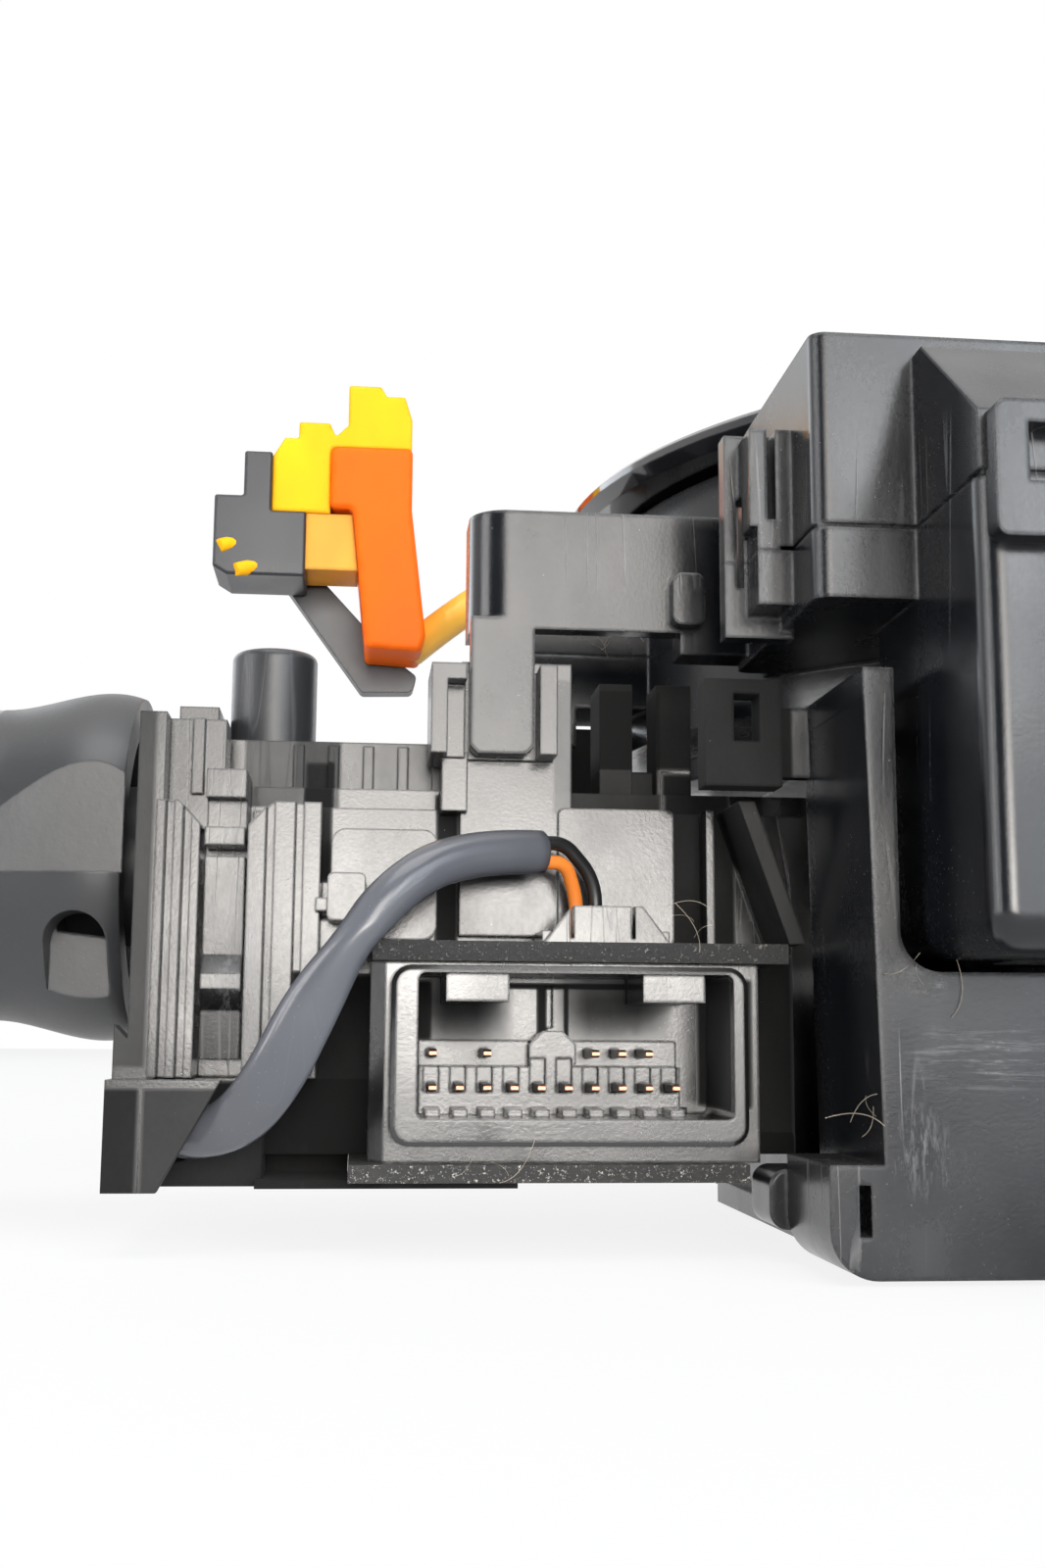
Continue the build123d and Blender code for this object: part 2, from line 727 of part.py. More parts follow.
with BuildPart() as airbag_wire_cap:
    with BuildSketch(front_plane(plug_back - 0.5)):
        Polygon(
            (-93.8, 76.5),
            (-92.0, 75.4),
            (-82.0, 75.4),
            (-82.0, 84.1),
            (-86.5, 84.1),
            (-86.5, 92.0),
            (-90.1, 92.0),
            (-90.1, 86.0),
            (-93.8, 86.0),
            align=None,
        )
    extrude(amount=plug_depth - 1.0)
    fillet(airbag_wire_cap.edges().filter_by(Axis.Y), 0.35)
    chamfer(airbag_wire_cap.faces().sort_by(Axis.Y)[0].edges(), 0.3)
save(airbag_wire_cap.part, "airbag_wire_cap")

with BuildPart() as airbag_strap:
    with BuildSketch(front_plane(plug_back + strap_thick)):
        Polygon(
            (-85.2, 77.2), (-80.6, 78.4), (-70.4, 67.4), (-67.0, 64.8), (-67.6, 62.6), (-74.4, 62.4),
            align=None,
        )
    extrude(amount=strap_thick)
    fillet(airbag_strap.edges().filter_by(Axis.Y), 0.8)
save(airbag_strap.part, "airbag_strap")

# Left module case: a tray with the connector's wall in front and the lever's opening at its end
rail_front = -37.0
rail_low = 13.4
rail_high = 36.0
rail_left = -90.8
channel_left = -87.2
channel_right = -83.3
rail_right = -77.3
foot_left = -93.6
foot_low = 4.6
foot_high = 13.3
gusset_front = -40.0
gusset_thick = 1.4
box_x = -51.95              # terminal box on the front wall
box_z = 30.6
box_wide = 10.1
box_tall = 11.8
box_reach = 2.6
panel_x = -72.0             # rounded panel behind the lead
panel_z = 29.6
panel_wide = 9.0
panel_tall = 9.4
panel_reach = 3.4
hook_x = -75.1              # square hook that holds the lead
hook_z = 28.0
hook_wide = 3.1
hook_tall = 3.9
hook_front = -39.6
brace_thick = 1.4           # slanted brace and upright rib beside the box
brace_top_x = -42.6
brace_foot_x = -38.4
brace_reach = 9.0
rib_x = -43.75
rib_thick = 0.7
post_left = -65.5           # post of the guide head
post_right = -55.8
post_low = 25.4
post_front = -31.9
leg_thick = 1.4
ramp_left = -58.9           # ramp behind which the cores go down
ramp_right = -48.2
ramp_slope = 2.4
ramp_high = 27.6
ramp_front = -38.4
ramp_thick = 1.6
guard_left = -92.5          # upright strip beside the rails, and the web at its foot
guard_top = 43.5
guard_front = -36.2
guard_back = -33.4
lead_start = (-89.4, -32.4, 8.6)
lead_points = [
    lead_start,
    (-88.0, -35.9, 8.3),
    (-84.0, -38.0, 9.0),
    (-79.2, -42.4, 14.0),
    (-75.6, -44.4, 20.8),
    (-71.8, -44.0, 28.4),
    (-65.6, -40.6, 31.8),
    (-59.2, -38.0, 32.0),
]
pawl_x = -44.0
pawl_y = -6.0
pawl_low = 29.0
pawl_high = 33.0
pawl_post_r = 1.6
bearing_r = 3.0
with BuildPart() as left_case:
    with BuildSketch(Plane.XY.offset(module_low)):
        with Locations(((module_left + module_right) / 2, (module_front + module_back) / 2)):
            Rectangle(module_right - module_left, module_back - module_front)
    extrude(amount=module_top - module_low)
    fillet(left_case.edges().filter_by(Axis.Z), 1.0)
    with BuildSketch(Plane.XY.offset(module_low + module_wall)):
        with Locations(((module_left + module_right) / 2, (module_front + module_back) / 2)):
            Rectangle(
                module_right - module_left - 2 * module_wall,
                module_back - module_front - 2 * module_wall,
            )
    extrude(amount=40, mode=Mode.SUBTRACT)
    # Flange against the base's seat, with two tapped bosses
    block(module_right - 2.5, module_right, module_back - 1, seat_back, module_low, module_top)
    for level in module_screw_levels:
        with Locations(Location((module_right - 2.5, module_screw_y, level), (0, -90, 0))):
            Cylinder(3.6, 5.0, align=(Align.CENTER, Align.CENTER, Align.MIN))
    # Ribbed rails on the front, one group on each side of the latch channel
    for left, right, grooves in (
        (rail_left, channel_left, 2),
        (channel_right, rail_right, 2),
    ):
        groove_pitch = (right - left) / (grooves + 0.5)
        with BuildSketch(Plane.XY.offset(rail_low)):
            with Locations(((left + right) / 2, (rail_front + module_front) / 2)):
                Rectangle(right - left, module_front - rail_front)
            with Locations(((left + right) / 2, rail_front)):
                with GridLocations(groove_pitch, 1, grooves, 1):
                    Rectangle(0.7, 2.4, mode=Mode.SUBTRACT)
        extrude(amount=rail_high - rail_low)
    # Slanted shoulders of the rails towards the channel
    with BuildSketch(front_plane(module_front - 0.5)):
        for edge, away in ((channel_left, -1), (channel_right, 1)):
            Polygon(
                (edge, rail_high - 2.0), (edge, rail_high), (edge + 1.8 * away, rail_high),
                align=None,
            )
    extrude(amount=module_front - rail_front, mode=Mode.SUBTRACT)
    # Back of the channel, its latch blocks, the bar and the sprung tongue
    block(channel_left, channel_right, -31.5, module_front, rail_low, rail_high - 2)
    tongue_left = channel_left + 0.3
    tongue_right = channel_right - 0.3
    block(tongue_left, tongue_right, -36.0, module_front + 1, 36.4, 38.8)
    block(tongue_left, tongue_right, -34.0, module_front + 1, 34.0, 36.4)
    block(tongue_left, tongue_right, -36.2, -31.0, 32.4, 33.9)
    with BuildSketch(side_plane(tongue_left)):
        Polygon(
            (-31.4, 31.6),
            (-34.8, 31.6),
            (-34.6, 23.4),
            (-35.9, 21.8),
            (-35.9, 20.6),
            (-34.8, 18.8),
            (-34.6, 14.8),
            (-33.0, 14.8),
            (-33.2, 29.6),
            (-31.4, 29.6),
            align=None,
        )
    extrude(amount=tongue_right - tongue_left)
    # Upright guard beside the rails, with a web at its foot and a block over the channel
    block(guard_left, rail_left + 0.5, guard_front, guard_back, rail_low, guard_top)
    with BuildSketch(front_plane(guard_back)):
        Polygon(
            (foot_left, foot_low), (rail_left + 0.5, foot_low), (rail_left + 0.5, foot_high + 1),
            (foot_left, foot_high + 4.3), align=None,
        )
    extrude(amount=guard_back - guard_front)
    block(-90.4, -85.6, -33.0, -28.3, rail_high - 2, guard_top)
    block(-88.4, -87.4, -33.6, -33.0, rail_high + 1, guard_top)
    # Guide head: two hooked legs round the lock arm's tab, on a post
    head_left = tab_left - 3.4
    head_right = tab_right + 1.9
    head_low = 40.6
    head_top = 48.4
    post_back = module_front + module_wall
    with BuildSketch(Plane.XY.offset(head_low)):
        Polygon(
            (head_left, post_back),
            (head_left, arm_front - 1.0),
            (tab_left - slip - 0.1, arm_front - 1.0),
            (tab_left - slip - 0.1, arm_front + arm_thick + slip),
            (tab_right + slip + 0.1, arm_front + arm_thick + slip),
            (tab_right + slip + 0.1, arm_front - 1.0),
            (head_right, arm_front - 1.0),
            (head_right, post_back),
            align=None,
        )
    extrude(amount=head_top - head_low)
    block(
        head_left + leg_thick, tab_left - slip, arm_front - 2, arm_front + 1.4,
        head_low - 1, head_top - leg_thick, Mode.SUBTRACT,
    )
    block(post_left, post_right, post_front, post_back, post_low, head_top + 1.0)
    block(
        head_left + 1.1, post_left + 0.5, post_front - 1.3, post_back,
        module_top - 0.5, head_low + 0.5,
    )
    # Box, rib, brace, panel and hook on the front wall above the connector
    with BuildSketch(front_plane(module_front)):
        with Locations((box_x, box_z)):
            RectangleRounded(box_wide, box_tall, 0.6)
    extrude(amount=box_reach)
    with BuildSketch(front_plane(module_front)):
        with Locations((rib_x, (box_z - box_tall / 2 + module_top) / 2)):
            Rectangle(rib_thick, module_top - box_z + box_tall / 2)
    extrude(amount=3.0)
    with BuildSketch(front_plane(module_front)):
        Polygon(
            (brace_top_x, module_top), (brace_top_x + brace_thick, module_top),
            (brace_foot_x + brace_thick, insulator_high + 0.2),
            (brace_foot_x, insulator_high + 0.2), align=None,
        )
    extrude(amount=brace_reach)
    with BuildSketch(front_plane(module_front)):
        with Locations((panel_x, panel_z)):
            RectangleRounded(panel_wide, panel_tall, 1.2)
    extrude(amount=panel_reach)
    with BuildSketch(front_plane(module_front - panel_reach + 0.4)):
        with Locations((hook_x, hook_z)):
            RectangleRounded(hook_wide, hook_tall, 0.5)
    extrude(amount=module_front - panel_reach + 0.4 - hook_front)
    block(
        rail_right - 0.3, hook_x - hook_wide / 2 + 0.3, hook_front + 1.6, module_front,
        hook_z - 1.1, hook_z,
    )
    block(
        rail_right - 0.3, panel_x - 2.4, module_front - panel_reach - 1.2, module_front,
        insulator_high - 3.0, hook_z - 1.6,
    )
    # Ramp behind which the cores go down to the insulating board, with two moulding lines
    with BuildSketch(front_plane(ramp_front + ramp_thick)):
        Polygon(
            (ramp_left, insulator_high), (ramp_right, insulator_high),
            (ramp_right - ramp_slope, ramp_high), (ramp_left + ramp_slope, ramp_high), align=None,
        )
        for groove_x in (ramp_left + ramp_slope, ramp_right - ramp_slope - 0.8):
            with Locations((groove_x, ramp_high)):
                Rectangle(0.3, 5.4, mode=Mode.SUBTRACT)
    extrude(amount=ramp_thick)
    for cheek in (ramp_left, ramp_right - 1.2):
        block(cheek, cheek + 1.2, ramp_front + 1.0, module_front, insulator_high, insulator_high + 1.2)
    # Foot with the gusset plate in front of the lead's entry
    block(foot_left, -81.6, -34.0, -26.0, foot_low, foot_high)
    block(foot_left, foot_left + 1.8, gusset_front, -33.5, foot_low, foot_high)
    block(foot_left, -87.6, gusset_front, -33.5, foot_high - 1.5, foot_high)
    with BuildSketch(front_plane(gusset_front + gusset_thick)):
        Polygon(
            (foot_left, foot_low), (-89.4, foot_low), (-84.6, foot_high), (foot_left, foot_high),
            align=None,
        )
    extrude(amount=gusset_thick)
    block(foot_left, -74.6, -27.0, -4.0, foot_low, module_low + 0.5)
    block(-82.0, -60.7, -36.4, -26.5, foot_low, foot_low + 0.6)
    # Opening round the lever's neck, open to the top
    opening_r = 11.4
    with BuildSketch(side_plane(module_left - 4)):
        with Locations((lever_y, lever_z)):
            Circle(opening_r)
        with Locations((lever_y, lever_z + 10)):
            Rectangle(2 * opening_r, 20)
    extrude(amount=8, mode=Mode.SUBTRACT)
    # Lower bearing of the lever bracket, the pawl's post and the detent block
    with Locations((lever_x, lever_y, module_low)):
        Cylinder(5.4, yoke_low - slip - module_low, align=(Align.CENTER, Align.CENTER, Align.MIN))
        Cylinder(
            bearing_r + running, 60, align=(Align.CENTER, Align.CENTER, Align.MIN),
            mode=Mode.SUBTRACT,
        )
    with Locations((pawl_x, pawl_y, module_low)):
        Cylinder(3.2, pawl_low - slip - module_low, align=(Align.CENTER, Align.CENTER, Align.MIN))
        Cylinder(pawl_post_r, module_top - 0.5 - module_low,
                 align=(Align.CENTER, Align.CENTER, Align.MIN))
    detent_r = plunger_reach + slip
    with BuildSketch(Plane.XY.offset(module_low + 1)):
        with Locations((lever_x + detent_r + 1.5, lever_y)):
            Rectangle(9.0, 16.0)
        with Locations((lever_x, lever_y)):
            Circle(detent_r, mode=Mode.SUBTRACT)
    extrude(amount=module_top - 0.4 - module_low - 1)
    # Shallow detent grooves
    with Locations([
        Location(
            (lever_x + detent_r * cos(radians(turn)), lever_y + detent_r * sin(radians(turn)), 30)
        ) for turn in (-10, 0, 10)
    ]):
        Cylinder(0.8, 30, mode=Mode.SUBTRACT)
    # Windows for the pawl and the pins
    block(module_right - 3, module_right + 1, -15.0, -1.0, 26.5, module_top + 1, Mode.SUBTRACT)
    pins_left = first_pin_x - left_margin
    pins_right = row_end_x + left_margin
    block(
        pins_left, pins_right, module_front - 1, lower_pin_back + 4.2,
        cavity_low, upper_pin_z + 1.0, Mode.SUBTRACT,
    )
    block(
        pins_left, pins_right, lower_pin_back - 1.4, upper_pin_back + 1.4,
        0, cavity_low + 1, Mode.SUBTRACT,
    )
    lead_hole = Plane(origin=lead_start, z_dir=(Vector(*lead_points[1]) - Vector(*lead_start)))
    with BuildSketch(lead_hole):
        Circle(lead_r + running)
    extrude(amount=6, mode=Mode.SUBTRACT)
    for level in module_screw_levels:
        with Locations(Location((module_right - 9, module_screw_y, level), (0, 90, 0))):
            Cylinder(
                module_screw_r + press_gap, 10, align=(Align.CENTER, Align.CENTER, Align.MIN),
                mode=Mode.SUBTRACT,
            )
save(left_case.part, "left_case")

# Left cover: lid with the hood over the lever bracket
with BuildPart() as left_cover:
    with BuildSketch(Plane.XY.offset(module_top)):
        with Locations(((module_left + module_right) / 2, (post_back + module_back) / 2)):
            Rectangle(module_right - module_left, module_back - post_back)
    extrude(amount=2.0)
    with BuildSketch(Plane.XY.offset(module_top)):
        with Locations(((module_left + hood_right) / 2, (hood_front + module_back) / 2)):
            Rectangle(hood_right - module_left, module_back - hood_front)
    extrude(amount=hood_top - module_top)
    fillet(left_cover.edges().filter_by(Axis.Z).group_by(Axis.X)[0], 1.0)
    with BuildSketch(Plane.XY.offset(module_top - 1)):
        with Locations(((module_left + hood_right) / 2, (hood_front + module_back) / 2)):
            Rectangle(
                hood_right - module_left - 2 * 1.4, module_back - hood_front - 2 * 1.4
            )
    extrude(amount=hood_top - 1.2 - module_top + 1, mode=Mode.SUBTRACT)
    # Upright ribs on the hood's front and a block beside the peg
    with BuildSketch(Plane.XY.offset(module_top + 1)):
        with Locations((-73.5, hood_front)):
            with GridLocations(3.1, 1, 5, 1):
                Rectangle(0.9, 1.0)
    extrude(amount=hood_top - module_top - 1.4)
    block(module_left, module_left + 3.6, lever_y - 6.5, lever_y + 6.5, hood_top - 1, hood_top + 4.0)
    # Blocks and the rear tower behind the guide head
    block(-52.6, -49.6, -27.0, -21.0, module_top + 1, 48.8)
    block(-47.4, -44.2, -27.0, -22.0, module_top + 1, 48.8)
    block(-49.6, -47.4, -25.0, -22.0, module_top + 1, 41.0)
    block(-59.5, -48.3, -3.0, module_back, module_top + 1, 49.0)
    # Peg hole, lever opening, pawl post
    with Locations((lever_x, lever_y, hood_top)):
        Cylinder(peg_r + running, 8, mode=Mode.SUBTRACT)
    with BuildSketch(side_plane(module_left - 4)):
        with Locations((lever_y, lever_z)):
            Circle(opening_r)
    extrude(amount=9, mode=Mode.SUBTRACT)
save(left_cover.part, "left_cover")

# Circuit board under the case, and the insulating board on top of the connector
board_left = -74.5
board_right = -42.7
with BuildPart() as circuit_board:
    block(board_left, board_right, -42.0, -4.0, board_top - board_thick, board_top)
    with Locations((first_pin_x, lower_pin_back, board_top)):
        for place in range(pin_count):
            with Locations((place * pin_pitch, 0, 0)):
                Cylinder(0.5, 6, mode=Mode.SUBTRACT)
        for place in upper_pins:
            with Locations((place * pin_pitch, upper_pin_back - lower_pin_back, 0)):
                Cylinder(0.5, 6, mode=Mode.SUBTRACT)
save(circuit_board.part, "circuit_board")

with BuildPart() as insulating_board:
    block(-72.9, -39.3, -42.0, module_front, flange_high, insulator_high)
save(insulating_board.part, "insulating_board")

# Harness socket: shroud, chamfered flange, keys and stepped pin platform
platform_left = first_pin_x - 1.0
platform_right = row_end_x + 0.9
with BuildPart() as harness_socket:
    with BuildSketch(front_plane(flange_front)):
        with Locations(((mouth_left + mouth_right) / 2, (mouth_low + mouth_high) / 2)):
            RectangleRounded(mouth_right - mouth_left, mouth_high - mouth_low, mouth_corner)
    extrude(amount=flange_front - mouth_front)
    flange_left = mouth_left - 1.6
    flange_right = mouth_right + 1.7
    with BuildSketch(front_plane(module_front)):
        with Locations(((flange_left + flange_right) / 2, (board_top + flange_high) / 2)):
            Rectangle(flange_right - flange_left, flange_high - board_top)
    extrude(amount=module_front - flange_front)
    flange_edges = harness_socket.edges().filter_by(Axis.Z).group_by(Axis.X)[0]
    chamfer(flange_edges.group_by(Axis.Y)[0], 1.2)
    mouth_face = harness_socket.faces().filter_by(Axis.Y).sort_by(Axis.Y)[0]
    chamfer(mouth_face.edges(), 0.4)
    with BuildSketch(front_plane(cavity_back)):
        with Locations(((cavity_left + cavity_right) / 2, (cavity_low + cavity_high) / 2)):
            RectangleRounded(cavity_right - cavity_left, cavity_high - cavity_low, 0.6)
    extrude(amount=20, mode=Mode.SUBTRACT)
    # Keys under the roof
    key_width = 5.0
    for left in (cavity_left + 2.2, cavity_right - 2.1 - key_width):
        block(
            left, left + key_width, mouth_front + 1.0, cavity_back - 1,
            cavity_high - 2.2, cavity_high + 0.3,
        )
    # Pin platform with its upper step and the hump in the middle
    with BuildSketch(side_plane(platform_left)):
        Polygon(
            (cavity_back + 0.5, cavity_low - 0.3),
            (-36.2, cavity_low - 0.3),
            (-36.2, 14.4),
            (-34.6, 14.4),
            (-34.6, 16.5),
            (cavity_back + 0.5, 16.5),
            align=None,
        )
    extrude(amount=platform_right - platform_left)
    with BuildSketch(front_plane(-34.0)):
        with Locations((-57.85, 15.4)):
            RegularPolygon(2.1, 8, rotation=22.5)
    extrude(amount=2.2)
    # Notches round the lower pins, and the groove in the back wall
    with Locations((first_pin_x, -36.2, 13.7)):
        for place in range(pin_count):
            with Locations((place * pin_pitch, 0, 0)):
                Box(1.3, 1.0, 2.8, mode=Mode.SUBTRACT)
    block(-58.3, -57.5, cavity_back - 1, cavity_back + 0.8, 17.6, cavity_high - 0.6, Mode.SUBTRACT)
    # Castellated edge in front of the platform
    with Locations(((first_pin_x + row_end_x) / 2, -38.0, cavity_low + 0.15)):
        with GridLocations(pin_pitch, 1, pin_count, 1):
            Box(1.2, 3.8, 0.9)
    # Pin holes
    with Locations((first_pin_x, -34, lower_pin_z)):
        for place in range(pin_count):
            with Locations((place * pin_pitch, 0, 0)):
                Box(pin_size + 0.04, 12, pin_size + 0.04, mode=Mode.SUBTRACT)
        for place in upper_pins:
            with Locations((place * pin_pitch, 0, upper_pin_z - lower_pin_z)):
                Box(pin_size + 0.04, 12, pin_size + 0.04, mode=Mode.SUBTRACT)
save(harness_socket.part, "harness_socket")

# Pins: each runs back through the socket and turns down through the board
with BuildPart() as connector_pins:
    rows = [(place, lower_pin_z, lower_pin_back) for place in range(pin_count)]
    rows += [(place, upper_pin_z, upper_pin_back) for place in upper_pins]
    half = pin_size / 2
    for place, level, back in rows:
        pin_x = first_pin_x + place * pin_pitch
        with BuildSketch(side_plane(pin_x - half)):
            Polygon(
                (pin_front, level - 0.15),
                (pin_front + 0.8, level - half),
                (back - half, level - half),
                (back - half, board_top - board_thick - 0.9),
                (back + half, board_top - board_thick - 0.9),
                (back + half, level + half),
                (pin_front + 0.8, level + half),
                (pin_front, level + 0.15),
                align=None,
            )
        extrude(amount=pin_size)
save(connector_pins.part, "connector_pins")

# Grey lead held by the hook, and the cores that come out of its end
lead = save(tube(lead_points, lead_r), "grey_lead")
lead_end = Vector(*lead_points[-1])
lead_aim = (lead_end - Vector(*lead_points[-2])).normalized()


lead_face = Plane(origin=lead_end, x_dir=(-lead_aim.Z, 0, lead_aim.X), z_dir=lead_aim)
core_offset = core_r + 0.2


def core(side):
    """One core from the end of the lead down to the insulating board."""
    start = lead_face.from_local_coords(Vector(side * core_offset, 0, 0))
    foot_x = -55.0 + side * core_offset
    return tube(
        [
            tuple(start),
            tuple(start + lead_aim * 2.4),
            (foot_x, -35.4, 29.2 + side * core_offset),
            (foot_x, -35.4, insulator_high),
        ],
        core_r,
    )


save(core(1), "black_core")
save(core(-1), "orange_core")

# Lever bracket: turns with the peg about the upright axis, and forks round the lever's tongue
with BuildPart() as lever_bracket:
    for low, high, radius in (
        (yoke_low, yoke_high, yoke_r),
        (module_low + 0.5, yoke_low + 0.5, bearing_r),
        (yoke_high - 1, peg_top, peg_r),
    ):
        with BuildSketch(Plane.XY.offset(low)):
            with Locations((lever_x, lever_y)):
                Circle(radius)
        extrude(amount=high - low)
    fillet(lever_bracket.edges().group_by(Axis.Z)[-1], 0.8)
    block(
        lever_x - yoke_r - 1, lever_x - yoke_flat, lever_y - yoke_r, lever_y + yoke_r,
        yoke_low - 1, yoke_high + 0.01, Mode.SUBTRACT,
    )
    slot_half = tongue_thick / 2 + slip
    block(
        lever_x - 20, lever_x + 20, lever_y - slot_half, lever_y + slot_half,
        lever_z - tongue_half_height - 1.6, lever_z + tongue_half_height + 1.6, Mode.SUBTRACT,
    )
    with BuildSketch(front_plane(lever_y + 20)):
        with Locations((lever_x, lever_z)):
            Circle(hinge_pin_r + press_gap)
    extrude(amount=40, mode=Mode.SUBTRACT)

with BuildPart() as lever_pin:
    with BuildSketch(front_plane(lever_y + yoke_r - 0.8)):
        with Locations((lever_x, lever_z)):
            Circle(hinge_pin_r)
    extrude(amount=2 * (yoke_r - 0.8))

# Lever root: tongue, neck and bell, with the plunger's boss behind the hinge
lever_plane = Plane(origin=(0, lever_y, lever_z), x_dir=(-1, 0, 0), z_dir=(0, 1, 0))
lever_axis = Axis((0, lever_y, lever_z), (-1, 0, 0))
bell_rim = -bell_x - 2.9
neck_r = 7.6
boss_start = lever_x + yoke_r + 0.6
boss_end = lever_x + 20.5
spring_seat = lever_x + 12.4
plunger_tail = lever_x + 15.6


def lever_round(x, length, radius, mode=Mode.ADD):
    """A cylinder on the lever's own axis, from x towards +X."""
    with Locations(Location((x, lever_y, lever_z), (0, 90, 0))):
        return Cylinder(
            radius, length, align=(Align.CENTER, Align.CENTER, Align.MIN), mode=mode
        )


with BuildPart() as lever_root:
    with BuildSketch(lever_plane):
        with BuildLine():
            Polyline(
                (-lever_x + yoke_r + 1.0, 0),
                (-lever_x + yoke_r + 1.0, neck_r - 1.6),
                (-lever_x + yoke_r + 2.0, neck_r),
                (bell_rim + 6.0, neck_r),
                (bell_rim + 6.0, bell_r - bell_wall - 0.4),
                (bell_rim, bell_r - bell_wall),
                (bell_rim, bell_r - 0.5),
            )
            Spline(
                (bell_rim, bell_r - 0.5),
                (-bell_x, bell_r),
                (-bell_x + 5.0, bell_r - 0.9),
                (-collar_x, collar_r),
            )
            Polyline((-collar_x, collar_r), (-collar_x, 0), (-lever_x + yoke_r + 1.0, 0))
        make_face()
    revolve(axis=lever_axis)
    # Tongue between the bracket's cheeks
    with BuildSketch(front_plane(lever_y + tongue_thick / 2)):
        with Locations(((boss_start + 1 - 95.0) / 2, lever_z)):
            RectangleRounded(boss_start + 1 + 95.0, 2 * tongue_half_height, 1.2)
    extrude(amount=tongue_thick)
    lever_round(boss_start, boss_end - boss_start, 4.2)
    lever_round(spring_seat, 20, plunger_r + running, Mode.SUBTRACT)
    with BuildSketch(front_plane(lever_y + 20)):
        with Locations((lever_x, lever_z)):
            Circle(hinge_pin_r + running)
    extrude(amount=40, mode=Mode.SUBTRACT)
    # Oval recess and the step on the bell's front
    with BuildSketch(front_plane(lever_y - bell_r + 6.0)):
        with Locations((-98.4, 22.8)):
            SlotOverall(9.0, 5.4, rotation=90)
    extrude(amount=10, mode=Mode.SUBTRACT)
    block(
        collar_x + 1.5, bell_x + 6.0, lever_y - bell_r - 2, lever_y - bell_r + 2.0,
        lever_z - 2.0, lever_z + 20, Mode.SUBTRACT,
    )

with BuildPart() as detent_plunger:
    lever_round(plunger_tail, lever_x + plunger_reach - plunger_tail, plunger_r)
    fillet(detent_plunger.edges().group_by(Axis.X)[-1], 1.4)

with BuildPart() as plunger_spring:
    spring_length = plunger_tail - spring_seat - 0.5
    with BuildLine() as coil:
        Helix(
            pitch=spring_length / 3, height=spring_length, radius=1.5,
            center=(spring_seat + 0.25, lever_y, lever_z), direction=(1, 0, 0),
        )
    with BuildSketch(Plane(origin=coil.line @ 0, z_dir=coil.line % 0)):
        Circle(0.25)
    sweep(path=coil.line, is_frenet=True)

# Glossy ring round the collar
ring_bore_r = 10.0
with BuildPart() as lever_ring:
    lever_round(collar_x - ring_width, ring_width, collar_r)
    lever_round(collar_x - ring_width - 1, ring_width + 2, ring_bore_r, Mode.SUBTRACT)
    fillet(lever_ring.edges().filter_by(GeomType.CIRCLE).sort_by(SortBy.RADIUS)[-2:], 0.6)

# Stalk: a tapered oval arm with a plug in the ring and a spindle for the knob
spindle_r = 4.0
cap_start_x = stalk_end_x - slip - knob_length - slip
with BuildPart() as lever_stalk:
    for x, half_width, half_height in (
        (collar_x - ring_width, 13.6, 13.6),
        (collar_x - ring_width - 12.0, 11.0, 10.0),
        (collar_x - ring_width - 30.0, 9.4, 8.2),
        (stalk_end_x, 8.8, 7.4),
    ):
        with BuildSketch(side_plane(x)):
            with Locations((lever_y, lever_z)):
                Ellipse(half_width, half_height)
    loft()
    lever_round(collar_x - ring_width - 1, ring_width + 1, ring_bore_r - running)
    lever_round(cap_start_x, stalk_end_x - cap_start_x + 1, spindle_r)

# Rotary knob with grip ribs, and the end cap on the spindle
with BuildPart() as lever_knob:
    lever_round(stalk_end_x - slip - knob_length, knob_length, knob_r)
    fillet(lever_knob.edges(), 1.0)
    with BuildSketch(side_plane(stalk_end_x - slip - knob_length + 4.0)):
        with Locations((lever_y, lever_z)):
            with PolarLocations(knob_r + 0.1, 18):
                Rectangle(1.0, 1.2, mode=Mode.ADD)
    extrude(amount=knob_length - 8.0, mode=Mode.SUBTRACT)
    lever_round(
        stalk_end_x - knob_length - 2, knob_length + 4, spindle_r + running, Mode.SUBTRACT
    )

with BuildPart() as lever_cap:
    lever_round(cap_start_x - cap_length, cap_length, knob_r - 0.4)
    fillet(lever_cap.edges().group_by(Axis.X)[0], 2.4)

# Cancelling pawl on its post, reaching through the windows to the cam
pawl_tip_x = -27.2
with BuildPart() as cancel_pawl:
    with BuildSketch(Plane.XY.offset(pawl_low)):
        with Locations((pawl_x, pawl_y)):
            Circle(3.8)
        with BuildLine():
            Polyline(
                (pawl_x - 5.0, pawl_y - 2.4),
                (pawl_x, pawl_y - 3.4),
                (pawl_tip_x - 1.0, pawl_y - 1.5),
                (pawl_tip_x, pawl_y),
                (pawl_tip_x - 1.0, pawl_y + 1.5),
                (pawl_x, pawl_y + 3.4),
                (pawl_x - 5.0, pawl_y + 2.4),
                close=True,
            )
        make_face()
        with Locations((pawl_x, pawl_y)):
            Circle(pawl_post_r + running, mode=Mode.SUBTRACT)
    extrude(amount=pawl_high - pawl_low)
save(cancel_pawl.part, "cancel_pawl")

# Screws that hold a module's flange on the base's seat
with BuildPart() as module_screws:
    for side in (-1, 1):
        head_x = side * (seat_x + 2.5 + 5.0)
        for level in module_screw_levels:
            with Locations(Location((head_x, module_screw_y, level), (0, -side * 90, 0))):
                Cylinder(
                    module_screw_r, 9.0, align=(Align.CENTER, Align.CENTER, Align.MIN)
                )
            with Locations(Location((head_x, module_screw_y, level), (0, side * 90, 0))):
                Cylinder(3.0, 1.8, align=(Align.CENTER, Align.CENTER, Align.MIN))
save(module_screws.part, "module_screws")

